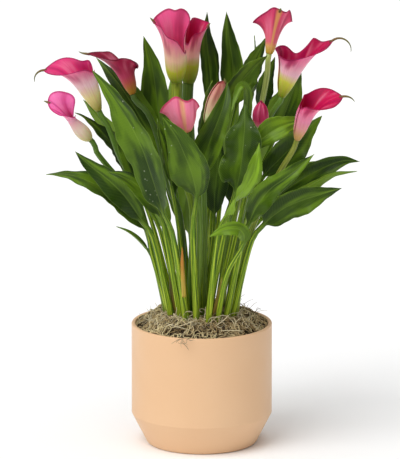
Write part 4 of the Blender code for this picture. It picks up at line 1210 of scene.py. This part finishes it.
def moss_height(radius, angle):
    """The mat's top: thicker toward the stems, lumpy all over."""
    inward = (POT_RADIUS - radius) / (POT_RADIUS - MOSS_INNER)
    lumps = (sin(5 * angle + 1.0) + sin(11 * angle + 170 * radius / POT_RADIUS)
             + 0.7 * sin(17 * angle - 2.0)) / 2.7
    return soil_height(radius) + GAP + MOSS_THIN + (MOSS_THICK - MOSS_THIN) * inward + MOSS_LUMP * lumps


def mat_top(spot):
    """Where a strand lies, at this place seen from above."""
    radius = spot.length
    angle = atan2(spot.y, spot.x)
    if radius < MOSS_INNER:
        rim = moss_height(MOSS_INNER, angle)
        return soil_height(radius) + (rim - soil_height(radius)) * (0.55 + 0.45 * radius / MOSS_INNER)
    return moss_height(radius, angle)


def lying_strand(chance, layer):
    """The points of a strand that loops over the mat, lower where it nears the pot's wall."""
    radius = MOSS_REACH * sqrt(chance.uniform(0.12, 1.0))
    angle = chance.uniform(-pi, pi)
    spot = Vector((cos(angle), sin(angle))) * radius
    way = chance.uniform(0, 2 * pi)
    length = chance.uniform(18, 48) * MM
    bend = radians(chance.choice((-1, 1)) * chance.uniform(8, 46))
    swing = radians(chance.uniform(0, 46))
    beat = chance.uniform(0.6, 1.6)
    lift = layer * STRAND_PILE + chance.uniform(-1.2, 1.2) * MM
    arch = chance.uniform(-0.2, 1.0) * STRAND_ARCH
    tilt = chance.uniform(-3, 3) * MM
    points = []
    for step in range(STRAND_STEPS + 1):
        share = step / STRAND_STEPS
        kept = spot if spot.length < MOSS_REACH else spot * MOSS_REACH / spot.length
        heap = STRAND_HEAP * smoothstep(MOSS_REACH, MOSS_INNER, kept.length)
        up = (lift + arch * sin(pi * share) + tilt * (share - 0.5)) * (STRAND_FLAT + heap / STRAND_HEAP)
        points.append(Vector((kept.x, kept.y, mat_top(kept) - MOSS_SINK + heap + up)))
        way += bend + swing * sin(beat * step)
        spot = spot + Vector((cos(way), sin(way))) * length / STRAND_STEPS
    return points


def free_strand(chance, start, way, length, curl):
    """The points of a strand that stands up from the mat or hangs over the rim."""
    way = Vector(way).normalized()
    axis = Vector([chance.gauss(0, 1) for _ in range(3)]).normalized()
    points = [Vector(start)]
    for _ in range(STRAND_STEPS):
        axis = (axis + Vector([chance.gauss(0, 0.25) for _ in range(3)])).normalized()
        way.rotate(Quaternion(axis, radians(curl) / STRAND_STEPS))
        points.append(points[-1] + way * length / STRAND_STEPS)
    return points


def scattered(chance, vector, spread):
    """The vector with each of its parts moved a little."""
    return Vector(vector) + Vector([chance.gauss(0, spread) for _ in range(3)])


def strand_mesh(name, strands, material):
    """Many strands as one mesh, each thinner at its ends. strands: (points, radius, tone)."""
    points = []
    faces = []
    places = []
    for line, radius, tone in strands:
        count = len(line)
        turns = [pi * (i + 0.6) / (count + 0.2) for i in range(count)]
        sizes = [radius * (0.45 + 0.55 * sin(turn)) for turn in turns]
        for face in ring_faces(count, STRAND_SIDES):
            faces.append(tuple(len(points) + corner for corner in face))
        points += rings_around(line, sizes, STRAND_SIDES)
        places += [(tone, 0, 0)] * (count * STRAND_SIDES)
    return finished(mesh_piece(name, points, faces, [material], places), "moss")


MOSS_SEED = 7

# Each layer of moss: its name, its height in piles, its strands, and their light and dark colours.
MOSS_LAYERS = (
    # The under and middle layers are darker: painted shade in the gaps under the upper strands.
    ("moss_under", 0.0, 420, (0.14, 0.09, 0.045), (0.030, 0.018, 0.010)),
    ("moss_middle", 0.5, 260, (0.50, 0.37, 0.18), (0.07, 0.045, 0.020)),
    ("moss_upper", 1.0, 520, (1.00, 0.86, 0.50), (0.38, 0.26, 0.11)),
)
TUFT_COLOURS = ((1.00, 0.88, 0.58), (0.10, 0.08, 0.045))
TUFT_SPREAD = 3 * MM
TUFT_FAN = 0.3
FINE_CURL = 200
FINE_SIZE = 0.6
STRAW_CURL = 35

# Each tuft: where it starts, which way it goes, its strands, their length and their curl.
TUFTS = (
    ((-58, -8, 144), (-0.2, -0.1, 1.0), 7, 17, 130),
    ((-50, 2, 146), (-0.1, 0.0, 1.0), 6, 16, 150),
    ((42, 20, 148), (0.1, 0.0, 1.0), 9, 18, 120),
    ((50, 12, 147), (0.2, 0.0, 1.0), 9, 16, 120),
    ((36, 30, 149), (0.0, 0.1, 1.0), 7, 20, 110),
    ((58, 4, 144), (0.3, 0.0, 0.9), 6, 14, 140),
    ((-40, -28, 147), (-0.2, -0.3, 1.0), 16, 26, 360),
    ((-30, -36, 148), (0.1, -0.3, 1.0), 18, 28, 380),
    ((-18, -42, 148), (0.2, -0.4, 0.9), 18, 28, 380),
    ((-6, -46, 147), (-0.2, -0.3, 1.0), 14, 26, 360),
    ((10, -46, 146), (-0.2, -0.4, 0.9), 12, 28, 320),
    ((24, -40, 147), (0.2, -0.3, 0.9), 12, 26, 340),
    ((36, -28, 148), (0.2, -0.2, 1.0), 10, 24, 320),
    ((48, -30, 145), (0.3, -0.2, 0.8), 10, 24, 320),
    ((-52, -28, 145), (-0.2, -0.2, 0.8), 12, 24, 340),
    ((-58, -14, 143), (0.1, 0.0, 0.9), 10, 16, 300),
    ((-22, -76, 141), (-0.1, -1.0, -0.2), 7, 16, 120),
    ((-17, -77, 141), (0.1, -1.0, -0.2), 6, 15, 120),
)

# Each loose straw: where it starts, which way it goes and its length.
STRAWS = (
    ((2, -52, 147), (0.9, 0.3, 0.45), 26), ((8, -58, 146), (1.0, 0.35, 0.3), 30),
    ((0, -47, 148), (0.45, 0.1, 1.0), 22), ((-44, -44, 145), (0.5, -0.5, 0.3), 26),
    ((20, -62, 145), (0.9, 0.2, 0.1), 30), ((-14, -60, 146), (-0.9, 0.1, 0.2), 28),
    ((34, -52, 146), (0.4, 0.7, 0.5), 22), ((-30, -52, 147), (0.9, -0.2, 0.25), 28),
    ((52, -38, 145), (-0.6, 0.6, 0.5), 20), ((-56, -30, 145), (0.7, 0.4, 0.4), 24),
)


def moss_layer(chance, name, layer, count, light, dark):
    """Strands that lie over the mat, this many piles up. They are darker toward the right: painted shade.
    """
    strands = []
    for _ in range(count):
        line = lying_strand(chance, layer)
        shade = smoothstep(-70 * MM, 70 * MM, line[0].x)
        tone = min(max(chance.uniform(0.1, 1.0) - 0.4 * shade, 0.0), 1.0)
        strands.append((line, STRAND_RADIUS * chance.uniform(0.85, 1.5), tone))
    strand_mesh(name, strands, moss_strand_material(name, light, dark))


def tuft_strands(chance, start, way, count, length, curl):
    """The strands of a tuft. Those that curl little are thin and dark."""
    fine = curl < FINE_CURL
    strands = []
    for _ in range(count):
        spot = scattered(chance, Vector(start) * MM, TUFT_SPREAD)
        spread = scattered(chance, way, TUFT_FAN)
        line = free_strand(chance, spot, spread, length * MM * chance.uniform(0.7, 1.2),
                           curl * chance.uniform(0.5, 1.3))
        tone = chance.uniform(0.0, 0.5) if fine else chance.uniform(0.4, 1.0)
        size = FINE_SIZE if fine else 1.0
        strands.append((line, STRAND_RADIUS * size * chance.uniform(0.8, 1.2), tone))
    return strands


def make_moss():
    """Layers of loose strands over the mat, then tufts that stand up or hang over the rim, and straws."""
    chance = random.Random(MOSS_SEED)
    for layer in MOSS_LAYERS:
        moss_layer(chance, *layer)
    loose = []
    for tuft in TUFTS:
        loose += tuft_strands(chance, *tuft)
    for start, way, length in STRAWS:
        line = free_strand(chance, Vector(start) * MM, way, length * MM, STRAW_CURL)
        loose.append((line, STRAND_RADIUS, 1.0))
    strand_mesh("moss_tufts", loose, moss_strand_material("moss_tufts", *TUFT_COLOURS))


# Stage

def make_floor():
    disc = bmesh.new()
    bmesh.ops.create_circle(disc, cap_ends=True, segments=FLOOR_SIDES, radius=FLOOR_RADIUS)
    mesh = bpy.data.meshes.new("floor")
    disc.to_mesh(mesh)
    disc.free()
    placed("floor", mesh, [floor_material()])


def make_light(name, energy, way, softness):
    """A sun that shines along this way; softness is its width in degrees."""
    lamp = bpy.data.lights.new(name, "SUN")
    lamp.energy = energy
    lamp.angle = radians(softness)
    item = placed(name, lamp)
    item.rotation_mode = "QUATERNION"
    item.rotation_quaternion = Vector(way).to_track_quat("-Z", "Y")


def make_studio():
    world = bpy.data.worlds.new("studio")
    world.use_nodes = True
    sky = world.node_tree.nodes["Background"]
    sky.inputs["Color"].default_value = (1.0, 1.0, 1.0, 1)
    sky.inputs["Strength"].default_value = SKY_STRENGTH
    bpy.context.scene.world = world
    make_light("key", *KEY_LIGHT)
    make_light("top", *TOP_LIGHT)
    bpy.context.scene.view_settings.view_transform = "Standard"


def make_camera():
    """A long lens at the photograph's angle, which shows the plant almost without perspective."""
    look = -TO_EYE
    data = bpy.data.cameras.new("camera")
    data.sensor_width = SENSOR
    data.lens = SENSOR * CAMERA_AWAY / PICTURE_HEIGHT
    data.clip_start = 1.0
    data.clip_end = 60.0
    camera = placed("camera", data)
    right = Vector((1, 0, 0))
    turn = Matrix((right, right.cross(look), -look)).transposed()
    aim = seen((*PICTURE_MIDDLE, 0))
    camera.matrix_world = Matrix.Translation(aim - look * CAMERA_AWAY) @ turn.to_4x4()
    bpy.context.scene.camera = camera


# Dried sheaths at the stalks' feet: their middle line as (across, up, away), their radius and their
# colours from foot to tip.
SHEATHS = (
    ("sheath_left", ((-20, 166, -44), (-21, 184, -50), (-22, 203, -56), (-22, 222, -63)), 2.5,
     (0.50, 0.36, 0.05), (0.62, 0.20, 0.03)),
    ("sheath_right", ((14, 140, -26), (17, 155, -33), (20, 170, -40), (23, 188, -47)), 3.0,
     (0.42, 0.26, 0.06), (0.46, 0.36, 0.06)),
    ("sheath_middle", ((-29, 143, -18), (-32, 160, -22), (-34, 180, -26), (-36, 202, -29)), 3.6,
     (0.30, 0.20, 0.04), (0.12, 0.13, 0.02)),
)


def make_sheath(name, places, radius, low, high):
    """A thin dry sheath that narrows to a point."""
    smooth = smooth_path([seen(place) for place in places])
    shares = even_shares(SHEATH_STEPS)
    radii = [radius * MM * (1 - share ** 3) + 0.2 * MM for share in shares]
    material = stem_material(name + "_skin", low, high)
    return finished(tube(name, along(smooth, shares), radii, STEM_SIDES, material), "leaf")


# The leaves with pale flecks.
LEAF_FLECKS = ("leaf_06", "leaf_10", "leaf_19")

# Each bloom's colours: base, middle, throat, body, rim, and the midrib's where it shows.
BLOOM_COLOURS = {
    "bloom_01": ((0.40, 0.40, 0.06), (0.84, 0.76, 0.30), (0.97, 0.66, 0.67), (0.80, 0.09, 0.29),
                 (0.30, 0.01, 0.09), None),
    "bloom_02": ((0.60, 0.55, 0.16), (0.85, 0.62, 0.46), (0.88, 0.40, 0.48), (0.86, 0.17, 0.42),
                 (0.42, 0.02, 0.15), None),
    "bloom_03": ((0.40, 0.20, 0.02), (0.46, 0.09, 0.07), (0.46, 0.05, 0.11), (0.36, 0.010, 0.075),
                 (0.10, 0.003, 0.018), None),
    "bloom_04": ((0.20, 0.32, 0.01), (0.56, 0.60, 0.03), (0.99, 0.62, 0.42), (0.90, 0.16, 0.33),
                 (0.26, 0.006, 0.06), None),
    "bloom_05": ((0.16, 0.28, 0.01), (0.46, 0.50, 0.03), (0.94, 0.48, 0.42), (0.78, 0.07, 0.21),
                 (0.26, 0.006, 0.06), (0.86, 0.52, 0.46)),
    "bloom_06": ((0.62, 0.24, 0.07), (0.80, 0.28, 0.18), (0.96, 0.28, 0.34), (0.98, 0.23, 0.38),
                 (0.44, 0.02, 0.09), (0.80, 0.40, 0.20)),
    "bloom_07": ((0.34, 0.46, 0.12), (0.78, 0.74, 0.38), (0.80, 0.52, 0.34), (0.52, 0.18, 0.13),
                 (0.26, 0.05, 0.05), None),
    "bloom_08": ((0.56, 0.38, 0.03), (0.80, 0.42, 0.14), (0.85, 0.17, 0.21), (0.82, 0.07, 0.20),
                 (0.24, 0.006, 0.06), (0.80, 0.42, 0.13)),
    "bloom_09": ((0.24, 0.36, 0.01), (0.68, 0.70, 0.07), (0.98, 0.56, 0.62), (0.80, 0.07, 0.27),
                 (0.22, 0.003, 0.05), None),
    "bloom_10": ((0.62, 0.36, 0.12), (0.82, 0.34, 0.32), (0.86, 0.27, 0.40), (0.78, 0.06, 0.22),
                 (0.24, 0.003, 0.05), None),
    "bloom_11": ((0.86, 0.50, 0.46), (0.80, 0.20, 0.27), (0.70, 0.05, 0.15), (0.58, 0.020, 0.11),
                 (0.22, 0.004, 0.035), None),
}

# The body's colour on the sheet's inner side, where it isn't the outer one.
INNER_COLOURS = {
    "bloom_01": (0.68, 0.035, 0.18), "bloom_02": (0.90, 0.19, 0.46), "bloom_03": (0.20, 0.006, 0.032),
    "bloom_04": (0.98, 0.13, 0.34), "bloom_05": (0.48, 0.008, 0.08), "bloom_09": (0.42, 0.005, 0.070),
    "bloom_10": (0.47, 0.005, 0.070),
}

# A stem's colours at its foot and at its bloom, where it isn't a plain stem.
STEM_COLOURS = {
    "bloom_03": ((0.08, 0.15, 0.02), (0.06, 0.11, 0.015)),
    "bloom_04": ((0.12, 0.24, 0.02), (0.26, 0.33, 0.02)),
    "bloom_05": ((0.10, 0.20, 0.02), (0.10, 0.17, 0.02)),
    # bloom_08's stem is pale yellow-green all along, partly its own colour and partly a painted
    # highlight.
    "bloom_08": ((0.40, 0.48, 0.11), (0.44, 0.52, 0.14)),
    "bloom_10": ((0.20, 0.32, 0.03), (0.30, 0.33, 0.05)),
}
TAIL_COLOURS = ((0.20, 0.10, 0.035), (0.16, 0.17, 0.045))
STEM_PLAIN = ((0.20, 0.30, 0.035), (0.13, 0.25, 0.03))


def make_bloom(spec, path, spadix, tail_skin):
    """A bloom's sheet with its tail, its stem and its spadix."""
    colours = BLOOM_COLOURS[spec.name]
    base, middle, throat, body, rim, _ = colours
    inside = INNER_COLOURS.get(spec.name, body)
    outer = spathe_material(spec.name + "_outside", colours, False)
    inner = spathe_material(spec.name + "_inside", (base, middle, throat, inside, rim, None), True)
    make_spathe(spec, [outer, inner])
    if spec.tail[0]:
        make_tail(spec, tail_skin)
    skin = stem_material(spec.name + "_stem_skin", *STEM_COLOURS.get(spec.name, STEM_PLAIN))
    make_stem(spec, path, skin)
    make_spadix(spec, spadix)


def make_plant():
    """The leaves, the blooms and the back shoots, each grown from its place in the soil."""
    leaf_ways = [[seen(place) for place in spec.path] for spec in LEAVES]
    stem_ways = [[seen(place) for place in spec.stem] for spec in BLOOMS]
    shoot_ways = [[[seen(place) for place in spec.path] for spec in pair] for _, pair in BACK_SHOOTS]
    shoot_targets = [(ways[0][0] + ways[1][0]) / 2 for ways in shoot_ways]
    roots = iter(clump_roots([way[0] for way in leaf_ways + stem_ways] + shoot_targets))
    for spec, way in zip(LEAVES, leaf_ways):
        skin = leaf_material(spec.name + "_skin", spec.tone, spec.name in LEAF_FLECKS)
        make_leaf(spec, from_root(next(roots), way), spec.name, skin)
    spadix = spadix_material()
    tail_skin = stem_material("tail_skin", *TAIL_COLOURS)
    for spec, way in zip(BLOOMS, stem_ways):
        make_bloom(spec, from_root(next(roots), way), spadix, tail_skin)
    back = leaf_material("back_leaf_skin", BACK_TONE, False)
    for (name, pair), ways in zip(BACK_SHOOTS, shoot_ways):
        root = next(roots)
        for spec, way in zip(pair, ways):
            make_leaf(spec, from_root(root, way), name, back)


def main():
    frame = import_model()
    make_camera()
    make_studio()
    make_floor()
    make_plant()
    for values in SHEATHS:
        make_sheath(*values)
    make_pot(pot_material())
    for node, material in (("soil", soil_material()), ("moss", mat_material())):
        skins = frame["nodes"][node].data.materials
        skins.clear()
        skins.append(material)
    make_moss()


main()
